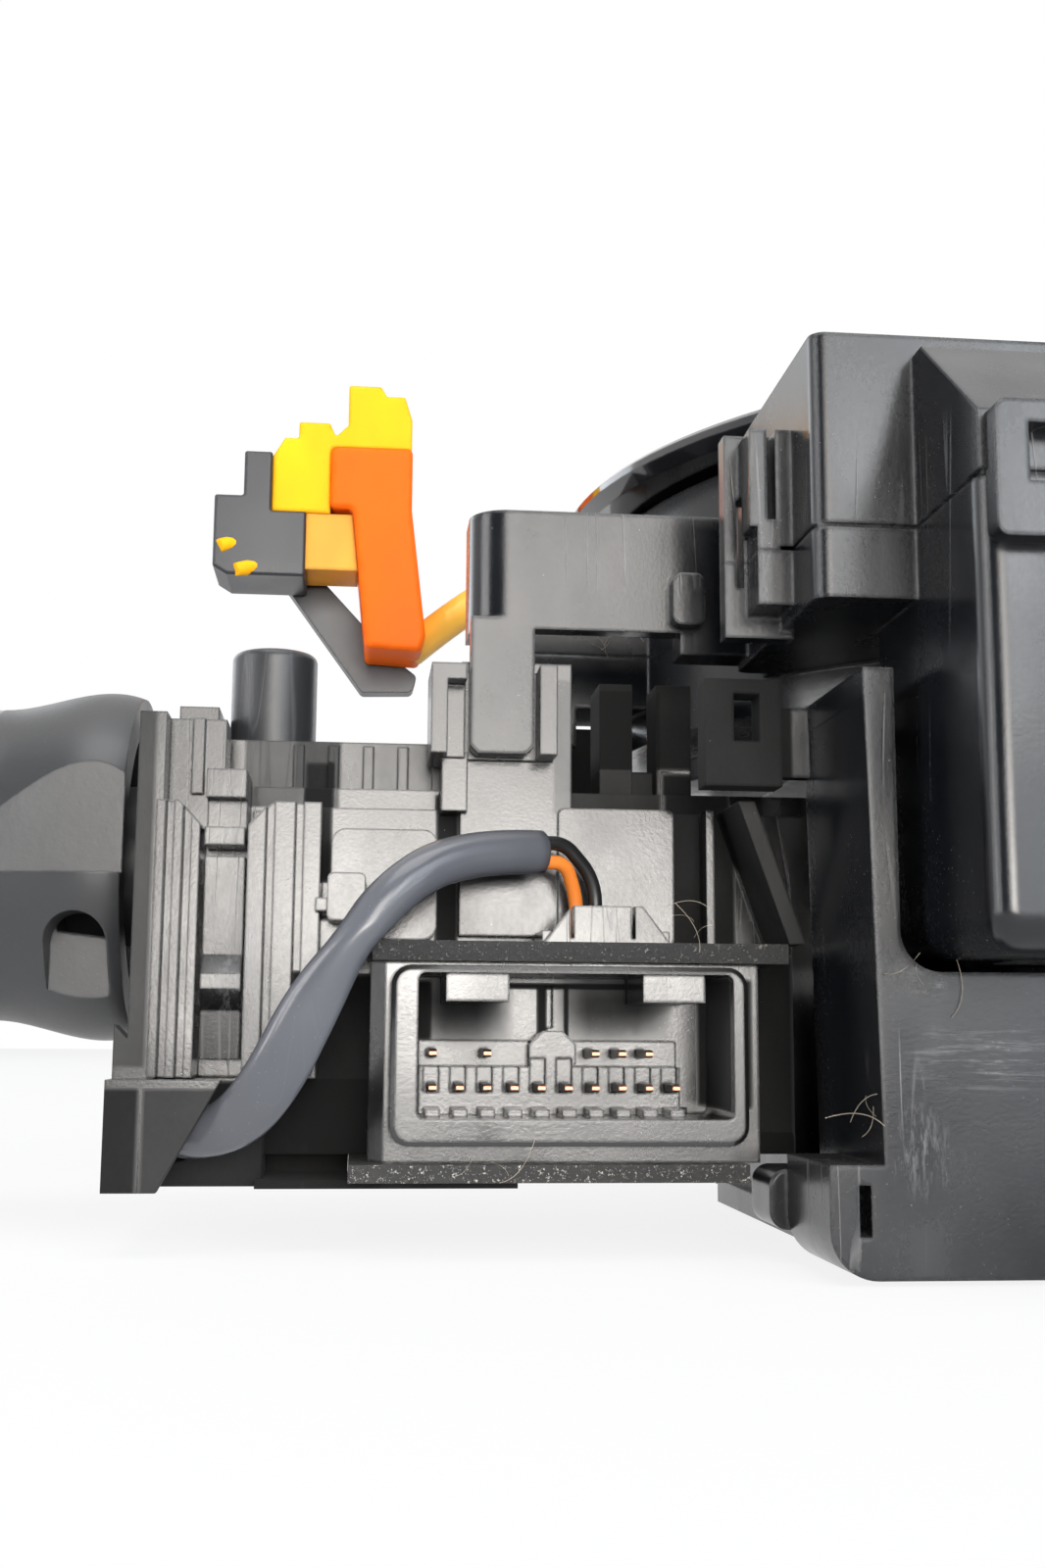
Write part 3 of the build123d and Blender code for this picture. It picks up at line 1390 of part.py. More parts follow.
# The two levers are alike: the right one is the left one's mirror image
lever_pieces = {
    "lever_bracket": lever_bracket,
    "lever_pin": lever_pin,
    "lever_root": lever_root,
    "detent_plunger": detent_plunger,
    "plunger_spring": plunger_spring,
    "lever_ring": lever_ring,
    "lever_stalk": lever_stalk,
    "lever_knob": lever_knob,
    "lever_cap": lever_cap,
}
module_pieces = {
    "case": left_case,
    "cover": left_cover,
    "circuit_board": circuit_board,
    "insulating_board": insulating_board,
    "harness_socket": harness_socket,
    "connector_pins": connector_pins,
}
for name, piece in lever_pieces.items():
    save(piece.part, f"left_{name}")
for name, piece in {**lever_pieces, **module_pieces}.items():
    with BuildPart() as twin:
        mirror(piece.part, about=Plane.YZ)
    save(twin.part, f"right_{name}")
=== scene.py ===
"""Looks of a steering-column combination switch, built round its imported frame.

The camera stands on the dash side and looks a little upwards at the left lever module. All sizes
are in metres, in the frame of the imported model: +Z up the steering axis, +X to the right, and +Y
away from the camera.
"""

import json
import logging
import math
import random
from dataclasses import dataclass
from enum import Enum
from typing import Any, Callable, Iterable, Sequence

import bmesh
import bpy
from mathutils import Matrix, Vector

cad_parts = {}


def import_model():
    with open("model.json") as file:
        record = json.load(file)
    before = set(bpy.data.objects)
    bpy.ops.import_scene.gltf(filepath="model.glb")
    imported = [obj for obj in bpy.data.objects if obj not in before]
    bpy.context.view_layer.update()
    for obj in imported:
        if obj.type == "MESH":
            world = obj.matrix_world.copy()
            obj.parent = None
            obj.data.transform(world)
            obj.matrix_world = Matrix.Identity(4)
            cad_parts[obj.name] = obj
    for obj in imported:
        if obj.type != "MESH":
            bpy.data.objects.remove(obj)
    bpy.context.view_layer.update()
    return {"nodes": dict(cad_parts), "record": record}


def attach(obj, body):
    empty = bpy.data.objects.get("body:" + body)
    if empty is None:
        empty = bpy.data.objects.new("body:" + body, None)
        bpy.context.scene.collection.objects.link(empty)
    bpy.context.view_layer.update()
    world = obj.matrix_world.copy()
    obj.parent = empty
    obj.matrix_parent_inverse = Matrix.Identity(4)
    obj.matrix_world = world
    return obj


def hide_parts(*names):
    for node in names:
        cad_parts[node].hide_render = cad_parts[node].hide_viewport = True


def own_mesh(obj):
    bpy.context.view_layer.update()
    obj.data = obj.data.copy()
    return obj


LOG = logging.getLogger("combination_switch")

Point = tuple[float, float, float]
Colour = tuple[float, float, float]
Socket = bpy.types.NodeSocket
Tree = bpy.types.NodeTree
Piece = bpy.types.Object

MM = 0.001
IMAGE_HEIGHT = 1600
BEVEL_SAMPLES = 4
BUMP_DEPTH = 0.00003
FLOW_SCALE = 320.0
SCUFF_SCALE = 150.0
# Lighter streaked patches; on the case they are painted reflections.
PALE_PATCH_TONE = (0.42, 0.42, 0.43)
DUST_TONE = (0.38, 0.36, 0.33)
# Painted shade: the near-black colour that the shade boxes give deep places.
PAINTED_SHADE_TONE = (0.002, 0.002, 0.002)
MOTTLE = 0.016


class Finish(Enum):
    """The finishes of the object, by the record's material slot."""

    CASE = "case_black"
    BASE = "base_black"
    GLOSS = "gloss_black"
    LEVER = "lever_grey"
    SOCKET = "socket_black"
    PIN = "pin_copper"
    BOARD = "board"
    LEAD = "lead_grey"
    CORE_BLACK = "core_black"
    CORE_ORANGE = "core_orange"
    PLUG_ORANGE = "airbag_orange"
    PLUG_YELLOW = "airbag_yellow"
    PLUG_TAN = "airbag_tan"
    PLUG_BLACK = "airbag_black"
    PIGTAIL = "pigtail_yellow"
    STEEL = "steel"
    FILM = "film"
    FIBRE = "fibre"
    FLUFF = "fluff"
    INSULATOR = "insulator"


class NodeGraph:
    """A node tree with short calls for adding and linking nodes."""

    def __init__(self, tree: Tree) -> None:
        """Keep the tree that the nodes go into."""
        self.tree = tree

    def add(self, kind: str, **inputs: Any) -> bpy.types.Node:
        """Add a node and set its inputs.

        Args:
            kind: The node's type name.
            inputs: Values or sockets by input name, with spaces written as underscores. The
                name of one of the node's own properties sets that property.

        Returns:
            The new node.
        """
        node = self.tree.nodes.new(kind)
        for name, value in inputs.items():
            if hasattr(node, name):
                setattr(node, name, value)
            else:
                self.feed(node.inputs[name.replace("_", " ")], value)
        return node

    def feed(self, socket: Socket, value: Any) -> None:
        """Set a socket to a value, or link another socket into it."""
        if isinstance(value, Socket):
            self.tree.links.new(value, socket)
        else:
            socket.default_value = value

    def math(self, operation: str, *values: Any, clamp: bool = False) -> Socket:
        """Add a Math node.

        Args:
            operation: The node's operation.
            values: One to three numbers or sockets.
            clamp: Whether the result is kept within 0 and 1.

        Returns:
            The result socket.
        """
        node = self.add("ShaderNodeMath", operation=operation, use_clamp=clamp)
        for socket, value in zip(node.inputs, values):
            self.feed(socket, value)
        return node.outputs[0]

    def vector(self, operation: str, *values: Any) -> bpy.types.Node:
        """Add a Vector Math node and feed it the values in order."""
        node = self.add("ShaderNodeVectorMath", operation=operation)
        for socket, value in zip(node.inputs, values):
            self.feed(socket, value)
        return node

    def noise(self, place: Any, scale: float | Socket, detail: float,
              roughness: float = 0.5) -> Socket:
        """Add a noise texture and return its grey value."""
        return self.add("ShaderNodeTexNoise", Vector=place, Scale=scale, Detail=detail,
                        Roughness=roughness).outputs[0]

    def place(self) -> Socket:
        """Give the place of the shaded point on its object."""
        return self.add("ShaderNodeTexCoord").outputs["Object"]

    def axes(self, vector: Socket) -> Any:
        """Split a vector into its outputs X, Y and Z."""
        return self.add("ShaderNodeSeparateXYZ", Vector=vector).outputs

    def group(self, tree: Tree, **inputs: Any) -> Any:
        """Add a shared node group and return its outputs."""
        return self.add("ShaderNodeGroup", node_tree=tree, **inputs).outputs

    def span(self, value: Any, low: float, high: float, to_low: float = 0.0,
             to_high: float = 1.0) -> Socket:
        """Map a value from one span to another, kept inside the second.

        Args:
            value: The number or socket to map.
            low: Where the first span starts.
            high: Where the first span ends.
            to_low: What the first span's start becomes.
            to_high: What the first span's end becomes.

        Returns:
            The mapped value's socket.
        """
        node = self.tree.nodes.new("ShaderNodeMapRange")
        for socket, number in zip(node.inputs, (value, low, high, to_low, to_high)):
            self.feed(socket, number)
        return node.outputs["Result"]

    def mix(self, factor: Any, first: Any, second: Any) -> Socket:
        """Mix two colours and return the result's socket."""
        node = self.add("ShaderNodeMix", data_type="RGBA", clamp_factor=True, Factor=factor)
        self.feed(node.inputs["A"], rgba(first) if isinstance(first, tuple) else first)
        self.feed(node.inputs["B"], rgba(second) if isinstance(second, tuple) else second)
        return node.outputs["Result"]


def rgba(colour: Sequence[float]) -> tuple[float, float, float, float]:
    """Give a colour its opaque fourth value."""
    return (colour[0], colour[1], colour[2], 1.0)


class Group(NodeGraph):
    """A shader node group with number and vector inputs."""

    def __init__(self, name: str, **inputs: Any) -> None:
        """Start the group.

        Args:
            name: The group's name.
            inputs: Each input's default by name, a number or three of them.
        """
        super().__init__(bpy.data.node_groups.new(name, "ShaderNodeTree"))
        for title, value in inputs.items():
            kind = "NodeSocketVector" if isinstance(value, tuple) else "NodeSocketFloat"
            socket = self.tree.interface.new_socket(title, in_out="INPUT", socket_type=kind)
            socket.default_value = value
        self.entry = self.tree.nodes.new("NodeGroupInput")

    def given(self, title: str) -> Socket:
        """Give one of the group's inputs."""
        return self.entry.outputs[title]

    def close(self, **outputs: Socket) -> Tree:
        """End the group in its outputs and return its tree."""
        for title in outputs:
            self.tree.interface.new_socket(title, in_out="OUTPUT", socket_type="NodeSocketFloat")
        leave = self.tree.nodes.new("NodeGroupOutput")
        for title, socket in outputs.items():
            self.feed(leave.inputs[title], socket)
        return self.tree

    def close_mask(self, first: Socket, second: Any = 1.0) -> Tree:
        """End the group in one mask: two values and the group's amount, multiplied."""
        both = self.math("MULTIPLY", first, second)
        return self.close(Mask=self.math("MULTIPLY", both, self.given("Amount"), clamp=True))


class Effects:
    """Shader node groups that several finishes share."""

    def __init__(self) -> None:
        """Build each group once."""
        self.grain = self._grain()
        self.wear = self._wear()
        self.flow = self._flow()
        self.scuffs = self._scuffs()
        self.dust = self._dust()
        self.pale_patch = self._pale_patch()
        self.painted_shade = self._painted_shade()

    @staticmethod
    def _grain() -> Tree:
        """Moulded grain: fine pits over a slow swell, and a slow tone."""
        graph = Group("moulded_grain", Scale=2500.0, Swell=0.8)
        place = graph.place()
        fine = graph.noise(place, graph.given("Scale"), 3.0, 0.6)
        slow = graph.noise(place, 70.0, 1.5, 0.45)
        deep = graph.math("MULTIPLY", graph.given("Swell"), 26.0)
        return graph.close(Height=graph.math("MULTIPLY_ADD", slow, deep, fine), Tone=slow)

    @staticmethod
    def _wear() -> Tree:
        """Edge wear: where the rounded normal leaves the flat one, broken up by noise."""
        graph = Group("edge_wear", Radius=0.0003, Amount=1.0)
        flat = graph.add("ShaderNodeNewGeometry").outputs["Normal"]
        bevel = graph.add("ShaderNodeBevel", samples=BEVEL_SAMPLES, Radius=graph.given("Radius"))
        facing = graph.vector("DOT_PRODUCT", flat, bevel.outputs[0])
        edge = graph.span(facing.outputs["Value"], 0.98, 0.82)
        broken = graph.span(graph.noise(graph.place(), 420.0, 4.0, 0.7), 0.38, 0.66)
        return graph.close_mask(edge, broken)

    @staticmethod
    def _flow() -> Tree:
        """Flow marks of the melt: soft bands along Z, and a fine mottle."""
        graph = Group("flow_marks")
        place = graph.place()
        pale_patches = {}
        for title, factor, squeeze, detail in (
            ("Bands", 0.35, 0.55, 2.0),
            ("Lines", 8.0, 0.70, 4.0),
        ):
            shaped = graph.add("ShaderNodeMapping", Vector=place, Scale=(1.0, 1.0, squeeze))
            pale_patches[title] = graph.noise(shaped.outputs[0], FLOW_SCALE * factor, detail, 0.55)
        return graph.close(**pale_patches)

    @staticmethod
    def _scuffs() -> Tree:
        """Hairline scratches: thin ridges of stretched and turned noises, kept to patches."""
        graph = Group("scuffs", Amount=1.0)
        place = graph.place()
        ridges = None
        for turn, stretch in ((0.5, 0.05), (-1.1, 0.07), (1.5, 0.04)):
            shaped = graph.add("ShaderNodeMapping", Vector=place, Rotation=(0.2, turn, 0.1),
                               Scale=(1.0, 0.6, stretch))
            noise = graph.noise(shaped.outputs[0], SCUFF_SCALE, 2.0)
            middle = graph.math("ABSOLUTE", graph.math("SUBTRACT", noise, 0.5))
            ridge = graph.span(middle, 0.006, 0.0)
            ridges = ridge if ridges is None else graph.math("MAXIMUM", ridges, ridge)
        return graph.close_mask(ridges, graph.span(graph.noise(place, 55.0, 1.0), 0.52, 0.72))

    @staticmethod
    def _dust() -> Tree:
        """Dust: fine specks in patches, and a film on faces that look up."""
        graph = Group("dust", Amount=1.0)
        place = graph.place()
        cells = graph.add("ShaderNodeTexVoronoi", Vector=place, Scale=1900.0)
        patch = graph.noise(place, 90.0, 3.0)
        specks = graph.math("MULTIPLY", graph.span(cells.outputs["Distance"], 0.14, 0.05),
                            graph.span(patch, 0.50, 0.74))
        normal = graph.axes(graph.add("ShaderNodeNewGeometry").outputs["Normal"])
        film = graph.math("MULTIPLY", graph.span(normal["Z"], 0.5, 1.0, 0.0, 0.35), patch)
        return graph.close_mask(graph.math("MAXIMUM", specks, film))

    @staticmethod
    def _pale_patch() -> Tree:
        """One pale patch: an egg-shaped falloff filled with streaked noise."""
        graph = Group("pale_patch_group", Centre=(0.0, 0.0, 0.0), Reach=(1.0, 1.0, 1.0),
                      Stretch=(1.0, 1.0, 1.0), Amount=1.0)
        place = graph.place()
        offset = graph.vector("SUBTRACT", place, graph.given("Centre"))
        scaled = graph.vector("DIVIDE", offset.outputs[0], graph.given("Reach"))
        size = graph.vector("LENGTH", scaled.outputs[0])
        near = graph.span(size.outputs["Value"], 1.0, 0.2)
        drawn = graph.vector("MULTIPLY", place, graph.given("Stretch"))
        torn = graph.span(graph.noise(drawn.outputs[0], 900.0, 4.0, 0.7), 0.48, 0.70)
        return graph.close_mask(near, torn)

    @staticmethod
    def _painted_shade() -> Tree:
        """Painted shade: a box with soft sides, the same on the left and the right of the object,
        that darkens what lies in it.
        """
        graph = Group("painted_shade_box", Low=(0.0, 0.0, 0.0), High=(1.0, 1.0, 1.0), Soft=0.0002)
        place = graph.axes(graph.place())
        low = graph.axes(graph.given("Low"))
        high = graph.axes(graph.given("High"))
        mask = None
        for axis in "XYZ":
            along = place[axis]
            if axis == "X":
                along = graph.math("ABSOLUTE", along)
            for near, far in ((along, low[axis]), (high[axis], along)):
                depth = graph.math("DIVIDE", graph.math("SUBTRACT", near, far), graph.given("Soft"))
                inside = graph.span(depth, -1.0, 1.0)
                mask = inside if mask is None else graph.math("MULTIPLY", mask, inside)
        return graph.close(Mask=mask)


@dataclass(frozen=True)
class ShadeBox:
    """A box of painted shade, whose walls are left matt and near-black.

    Its corners are in millimetres, with X as the distance from the middle plane.
    """

    low: Point
    high: Point
    roughness: float = 0.9
    soft: float = 0.2


@dataclass(frozen=True)
class Mark:
    """A lighter, streaked patch on a moulding, in metres; on the case it is a painted reflection.
    """

    centre: Point
    reach: Point
    stretch: Point = (1.0, 1.0, 1.0)
    amount: float = 0.6


class Look:
    """A finish that can be made into a material."""

    def build(self, name: str, effects: Effects) -> bpy.types.Material:
        """Make the material.

        Args:
            name: The material's name.
            effects: The shared node groups.

        Returns:
            The material.
        """
        material = bpy.data.materials.new(name)
        material.use_nodes = True
        tree = material.node_tree
        self.shade(NodeGraph(tree), tree.nodes["Principled BSDF"], effects)
        return material

    def shade(self, graph: NodeGraph, shader: bpy.types.Node, effects: Effects) -> None:
        """Feed the shader, each kind of finish in its own way."""
        raise NotImplementedError


@dataclass(frozen=True)
class Plastic(Look):
    """A moulded plastic finish.

    Colour is the plain surface, and worn is the colour that rubbed edges and scuffs take.
    """

    colour: Colour
    worn: Colour = (0.16, 0.16, 0.165)
    roughness: float = 0.30
    spread: float = 0.05
    grain: float = 0.12
    grain_scale: float = 2500.0
    swell: float = 0.8
    wear: float = 0.45
    band: float = 0.12
    scuff: float = 0.35
    dust: float = 0.35
    specular: float = 0.6
    coat: float = 0.0
    rounding: float = 0.0003
    pale_patches: tuple[Mark, ...] = ()
    painted_shades: tuple[ShadeBox, ...] = ()

    def shade(self, graph: NodeGraph, shader: bpy.types.Node, effects: Effects) -> None:
        """Feed the shader: colour and roughness with their marks and painted shade, and grain as
        bump.
        """
        wear = graph.group(effects.wear, Amount=self.wear, Radius=self.rounding)["Mask"]
        scuffs = graph.group(effects.scuffs, Amount=self.scuff)["Mask"]
        dust = graph.group(effects.dust, Amount=self.dust)["Mask"]
        flow = graph.group(effects.flow)
        patch_mask = self._pale_patch_mask(graph, effects)
        darker = tuple(channel * (1.0 - self.band) for channel in self.colour)
        lighter = tuple(channel * (1.0 + self.band) for channel in self.colour)
        base = graph.mix(graph.span(flow["Bands"], 0.3, 0.7), darker, lighter)
        rough = graph.span(flow["Bands"], 0.3, 0.7, self.roughness - self.spread,
                           self.roughness + self.spread)
        rough = graph.math("ADD", rough, graph.span(flow["Lines"], 0.35, 0.65, -MOTTLE, MOTTLE))
        for mask, tone, added in (
            (wear, self.worn, 0.0),
            (scuffs, self.worn, 0.25),
            # Pale patches, lighter and rougher: on the case a painted reflection.
            (patch_mask, PALE_PATCH_TONE, 0.3),
            (dust, DUST_TONE, 0.4),
        ):
            if mask is None:
                continue
            base = graph.mix(mask, base, tone)
            rough = graph.math("MULTIPLY_ADD", mask, added, rough)
        # Painted shade: each shade box darkens the colour to near black and makes it rougher.
        for painted_shade in self.painted_shades:
            mask = graph.group(effects.painted_shade, Low=tuple(value * MM for value in painted_shade.low),
                               High=tuple(value * MM for value in painted_shade.high),
                               Soft=painted_shade.soft * MM)["Mask"]
            base = graph.mix(mask, base, PAINTED_SHADE_TONE)
            rough = graph.math("MULTIPLY_ADD", mask, painted_shade.roughness - self.roughness, rough)
        graph.feed(shader.inputs["Base Color"], base)
        graph.feed(shader.inputs["Roughness"], graph.math("ADD", rough, 0.0, clamp=True))
        shader.inputs["Specular IOR Level"].default_value = self.specular
        shader.inputs["Coat Weight"].default_value = self.coat
        shader.inputs["Coat Roughness"].default_value = 0.06
        grain = graph.group(effects.grain, Scale=self.grain_scale, Swell=self.swell)
        rounded = graph.add("ShaderNodeBevel", samples=BEVEL_SAMPLES, Radius=self.rounding)
        height = graph.math("SUBTRACT", grain["Height"], graph.math("MULTIPLY", scuffs, 2.0))
        bump = graph.add("ShaderNodeBump", Strength=self.grain, Distance=BUMP_DEPTH, Height=height,
                         Normal=rounded.outputs[0])
        graph.feed(shader.inputs["Normal"], bump.outputs[0])

    def _pale_patch_mask(self, graph: NodeGraph, effects: Effects) -> Socket | None:
        """Give the mask of all the pale patches, if there are any."""
        patch_mask = None
        for mark in self.pale_patches:
            mask = graph.group(effects.pale_patch, Centre=mark.centre, Reach=mark.reach,
                               Stretch=mark.stretch, Amount=mark.amount)["Mask"]
            patch_mask = mask if patch_mask is None else graph.math("MAXIMUM", patch_mask, mask)
        return patch_mask


@dataclass(frozen=True)
class Metal(Look):
    """A plated or bare metal finish, which may turn to another tone past a depth along Y."""

    colour: Colour
    roughness: float = 0.3
    mottle: float = 0.15
    rear: Colour | None = None
    change_y: float = -0.0375
    change_half: float = 0.6 * MM
    spread: float = 0.08

    def shade(self, graph: NodeGraph, shader: bpy.types.Node, effects: Effects) -> None:
        """Feed the shader: mottled metal, and the other tone past its depth."""
        grain = graph.group(effects.grain, Scale=1800.0, Swell=0.2)
        darker = tuple(channel * (1.0 - self.mottle) for channel in self.colour)
        base = graph.mix(graph.span(grain["Tone"], 0.3, 0.7), darker, self.colour)
        if self.rear is not None:
            depth = graph.axes(graph.place())["Y"]
            past = graph.span(depth, self.change_y - self.change_half,
                              self.change_y + self.change_half)
            base = graph.mix(past, base, self.rear)
        graph.feed(shader.inputs["Base Color"], base)
        graph.feed(shader.inputs["Roughness"],
                   graph.span(grain["Tone"], 0.3, 0.7, self.roughness - self.spread,
                              self.roughness + self.spread))
        shader.inputs["Metallic"].default_value = 1.0
        rounded = graph.add("ShaderNodeBevel", samples=BEVEL_SAMPLES, Radius=0.1 * MM)
        bump = graph.add("ShaderNodeBump", Strength=0.15, Distance=BUMP_DEPTH,
                         Height=grain["Height"], Normal=rounded.outputs[0])
        graph.feed(shader.inputs["Normal"], bump.outputs[0])


@dataclass(frozen=True)
class Laminate(Look):
    """Fibre board: dark faces, and rough cut edges where the glass glints."""

    face: Colour
    cut: Colour
    glass: Colour = (0.62, 0.60, 0.55)
    rough_share: float = 1.0

    def shade(self, graph: NodeGraph, shader: bpy.types.Node, effects: Effects) -> None:
        """Feed the shader: glints and torn bump on the cut edges only."""
        grain = graph.group(effects.grain, Scale=1300.0, Swell=0.1)
        dust = graph.group(effects.dust, Amount=0.5)
        place = graph.place()
        normal = graph.axes(graph.add("ShaderNodeNewGeometry").outputs["Normal"])
        side = graph.span(graph.math("ABSOLUTE", normal["Z"]), 0.7, 0.3)
        chips = graph.noise(place, 5200.0, 3.0, 0.6)
        torn = graph.noise(place, 1500.0, 5.0, 0.8)
        glint = graph.math("MULTIPLY", graph.span(chips, 0.54, 0.62),
                           graph.span(torn, 0.50, 0.62, 0.0, self.rough_share))
        base = graph.mix(side, self.face, graph.mix(glint, self.cut, self.glass))
        graph.feed(shader.inputs["Base Color"], graph.mix(dust["Mask"], base, (0.40, 0.38, 0.35)))
        graph.feed(shader.inputs["Roughness"], graph.span(torn, 0.35, 0.65, 0.35, 0.75))
        height = graph.math("MULTIPLY_ADD", graph.math("MULTIPLY", torn, side), 6.0,
                            grain["Height"])
        bump = graph.add("ShaderNodeBump", Strength=0.6, Distance=2.0 * BUMP_DEPTH, Height=height)
        graph.feed(shader.inputs["Normal"], bump.outputs[0])


# Lighter streaked patches: centre, reach, stretch of the streaks, and amount. On the case they are
# painted reflections.
BASE_MARKS = (
    Mark((-0.0338, -0.057, 0.0090), (0.0026, 0.003, 0.0040), (3.0, 1.0, 0.6), 0.22),
    Mark((-0.0285, -0.057, 0.0156), (0.0080, 0.003, 0.0032), (0.25, 1.0, 3.2), 0.22),
    Mark((-0.0330, -0.057, 0.0215), (0.0030, 0.003, 0.0020), (0.8, 1.0, 2.0), 0.18),
    Mark((0.0210, -0.057, 0.0300), (0.0090, 0.003, 0.0040), (0.25, 1.0, 3.0), 0.18),
)
# Painted reflections on the case.
CASE_PAINTED_SHEEN = (
    Mark((-0.0835, -0.0360, 0.0220), (0.0030, 0.004, 0.0100), (1.0, 1.0, 0.10), 0.40),
    Mark((-0.0615, -0.0335, 0.0450), (0.0050, 0.004, 0.0060), (1.0, 1.0, 0.15), 0.30),
)

# Painted shade: deep places that the lamps reach more than they should, darkened to near black and
# left matt. Columns: low and high corner, roughness, soft
CASE_PAINTED_SHADE = (
    ShadeBox((41.0, -30.5, 24.6), (46.8, 6.0, 40.5)),
    ShadeBox((47.2, -31.8, 36.0), (57.4, -20.0, 48.0), 0.75),
    ShadeBox((36.6, -40.0, 24.6), (42.8, -30.9, 37.0), 0.6),
    ShadeBox((57.2, -30.5, 24.6), (58.8, -26.0, 36.0)),
    ShadeBox((65.6, -30.5, 24.6), (67.4, -26.0, 38.0)),
    ShadeBox((40.0, -29.5, 41.0), (64.0, 6.0, 55.0)),
    ShadeBox((36.0, -60.0, 4.0), (77.8, -29.0, 8.6)),
    ShadeBox((70.5, -36.4, 8.0), (79.4, -26.0, 22.0)),
    ShadeBox((36.0, -42.0, 4.0), (42.2, 6.0, 24.0)),
    ShadeBox((76.6, -30.5, 30.0), (79.0, -26.0, 41.0)),
    ShadeBox((76.0, -29.6, 36.5), (84.5, 6.0, 44.0), 0.5),
    ShadeBox((78.5, -60.0, -1.0), (90.6, -36.0, 12.6), 0.75),
    ShadeBox((91.0, -60.0, -1.0), (94.0, -36.0, 12.6), 1.0),
    ShadeBox((72.0, -36.6, 3.0), (90.6, -24.0, 13.0), 1.0),
    ShadeBox((91.1, -38.0, 14.2), (94.0, -28.0, 46.0), 0.55),
    ShadeBox((66.5, -27.5, 33.0), (80.0, -25.0, 44.0), 0.34),
)
# Painted shade on the base.
BASE_PAINTED_SHADE = (
    ShadeBox((38.6, -52.0, 33.5), (49.0, -36.0, 47.0), 0.85),
)
# Painted shade and shadows in the socket's cavity.
SOCKET_PAINTED_SHADE = (
    ShadeBox((40.0, -38.0, 7.0), (75.0, -30.0, 8.9)),
    ShadeBox((42.0, -42.5, 11.2), (45.0, -32.0, 21.5), 0.95),
    ShadeBox((67.9, -33.4, 16.6), (69.2, -32.0, 21.4), 1.0),
    ShadeBox((46.0, -34.5, 10.3), (68.6, -32.0, 11.0), 1.0, 0.12),
    ShadeBox((62.4, -34.0, 17.2), (68.2, -31.0, 21.4), 1.0, 1.6),
    ShadeBox((48.6, -34.0, 17.4), (56.0, -31.0, 21.6), 1.0, 1.6),
    ShadeBox((58.0, -33.2, 16.8), (58.8, -32.0, 21.0), 1.0, 0.15),
    ShadeBox((56.2, -33.2, 16.8), (56.5, -32.0, 21.0), 1.0, 0.12),
    ShadeBox((50.0, -33.2, 20.9), (61.2, -32.0, 21.3), 1.0, 0.12),
)

FINISHES: dict[Finish, Look] = {
    Finish.CASE: Plastic((0.0060, 0.0060, 0.0064), roughness=0.21, spread=0.07, specular=0.62,
                         grain=0.26, grain_scale=3600.0, rounding=0.00024, wear=0.25,
                         pale_patches=CASE_PAINTED_SHEEN, painted_shades=CASE_PAINTED_SHADE),
    Finish.BASE: Plastic((0.0056, 0.0066, 0.0085), roughness=0.24, spread=0.07, specular=0.55,
                         grain=0.30, grain_scale=3200.0, rounding=0.0005, wear=0.4, scuff=0.6,
                         pale_patches=BASE_MARKS, painted_shades=BASE_PAINTED_SHADE),
    Finish.GLOSS: Plastic((0.010, 0.010, 0.012), roughness=0.09, spread=0.02, grain=0.04, scuff=0.1,
                          coat=0.6, band=0.05),
    Finish.LEVER: Plastic((0.026, 0.027, 0.029), roughness=0.38, grain=0.45, grain_scale=1500.0),
    Finish.SOCKET: Plastic((0.012, 0.0118, 0.0115), roughness=0.24, spread=0.08, specular=0.9,
                           grain=0.25, grain_scale=3600.0, wear=0.25, painted_shades=SOCKET_PAINTED_SHADE),
    Finish.PIN: Metal((0.50, 0.24, 0.15), roughness=0.34, rear=(0.05, 0.046, 0.042),
                      change_y=-0.0389),
    Finish.BOARD: Laminate((0.014, 0.014, 0.014), (0.020, 0.019, 0.018)),
    Finish.LEAD: Plastic((0.090, 0.094, 0.108), roughness=0.20, grain=0.25, grain_scale=900.0,
                         wear=0.0, band=0.08, scuff=0.2, specular=0.5, rounding=0.0001),
    Finish.CORE_BLACK: Plastic((0.012, 0.012, 0.012), roughness=0.30, wear=0.0, scuff=0.0),
    Finish.CORE_ORANGE: Plastic((0.80, 0.22, 0.03), roughness=0.35, wear=0.0, scuff=0.0),
    Finish.PLUG_ORANGE: Plastic((0.88, 0.13, 0.003), worn=(1.0, 0.30, 0.02), roughness=0.5,
                                wear=0.5, specular=0.12, band=0.06, scuff=0.0, dust=0.0,
                                rounding=0.0009),
    Finish.PLUG_YELLOW: Plastic((0.95, 0.45, 0.006), worn=(1.0, 0.72, 0.08), roughness=0.5,
                                wear=0.6, specular=0.12, band=0.10, scuff=0.0, dust=0.0,
                                rounding=0.0008),
    Finish.PLUG_TAN: Plastic((0.75, 0.36, 0.05), worn=(0.95, 0.62, 0.22), roughness=0.5, wear=0.5,
                             specular=0.15, scuff=0.0, dust=0.0, rounding=0.0008),
    Finish.PLUG_BLACK: Plastic((0.014, 0.015, 0.020), roughness=0.36, wear=0.3, dust=0.1),
    Finish.PIGTAIL: Plastic((0.78, 0.42, 0.05), worn=(0.9, 0.6, 0.2), roughness=0.38, wear=0.0,
                            dust=0.0, grain=0.3, grain_scale=700.0),
    Finish.STEEL: Metal((0.60, 0.60, 0.58), roughness=0.28),
    Finish.FILM: Metal((0.62, 0.42, 0.22), roughness=0.35),
    Finish.FIBRE: Plastic((0.42, 0.36, 0.28), roughness=0.55, wear=0.0, scuff=0.0, dust=0.0,
                          grain=0.2),
    Finish.INSULATOR: Laminate((0.012, 0.012, 0.012), (0.014, 0.014, 0.014), rough_share=0.30),
    Finish.FLUFF: Plastic((0.50, 0.48, 0.45), roughness=0.8, wear=0.0, scuff=0.0, dust=0.0,
                          grain=0.5),
}


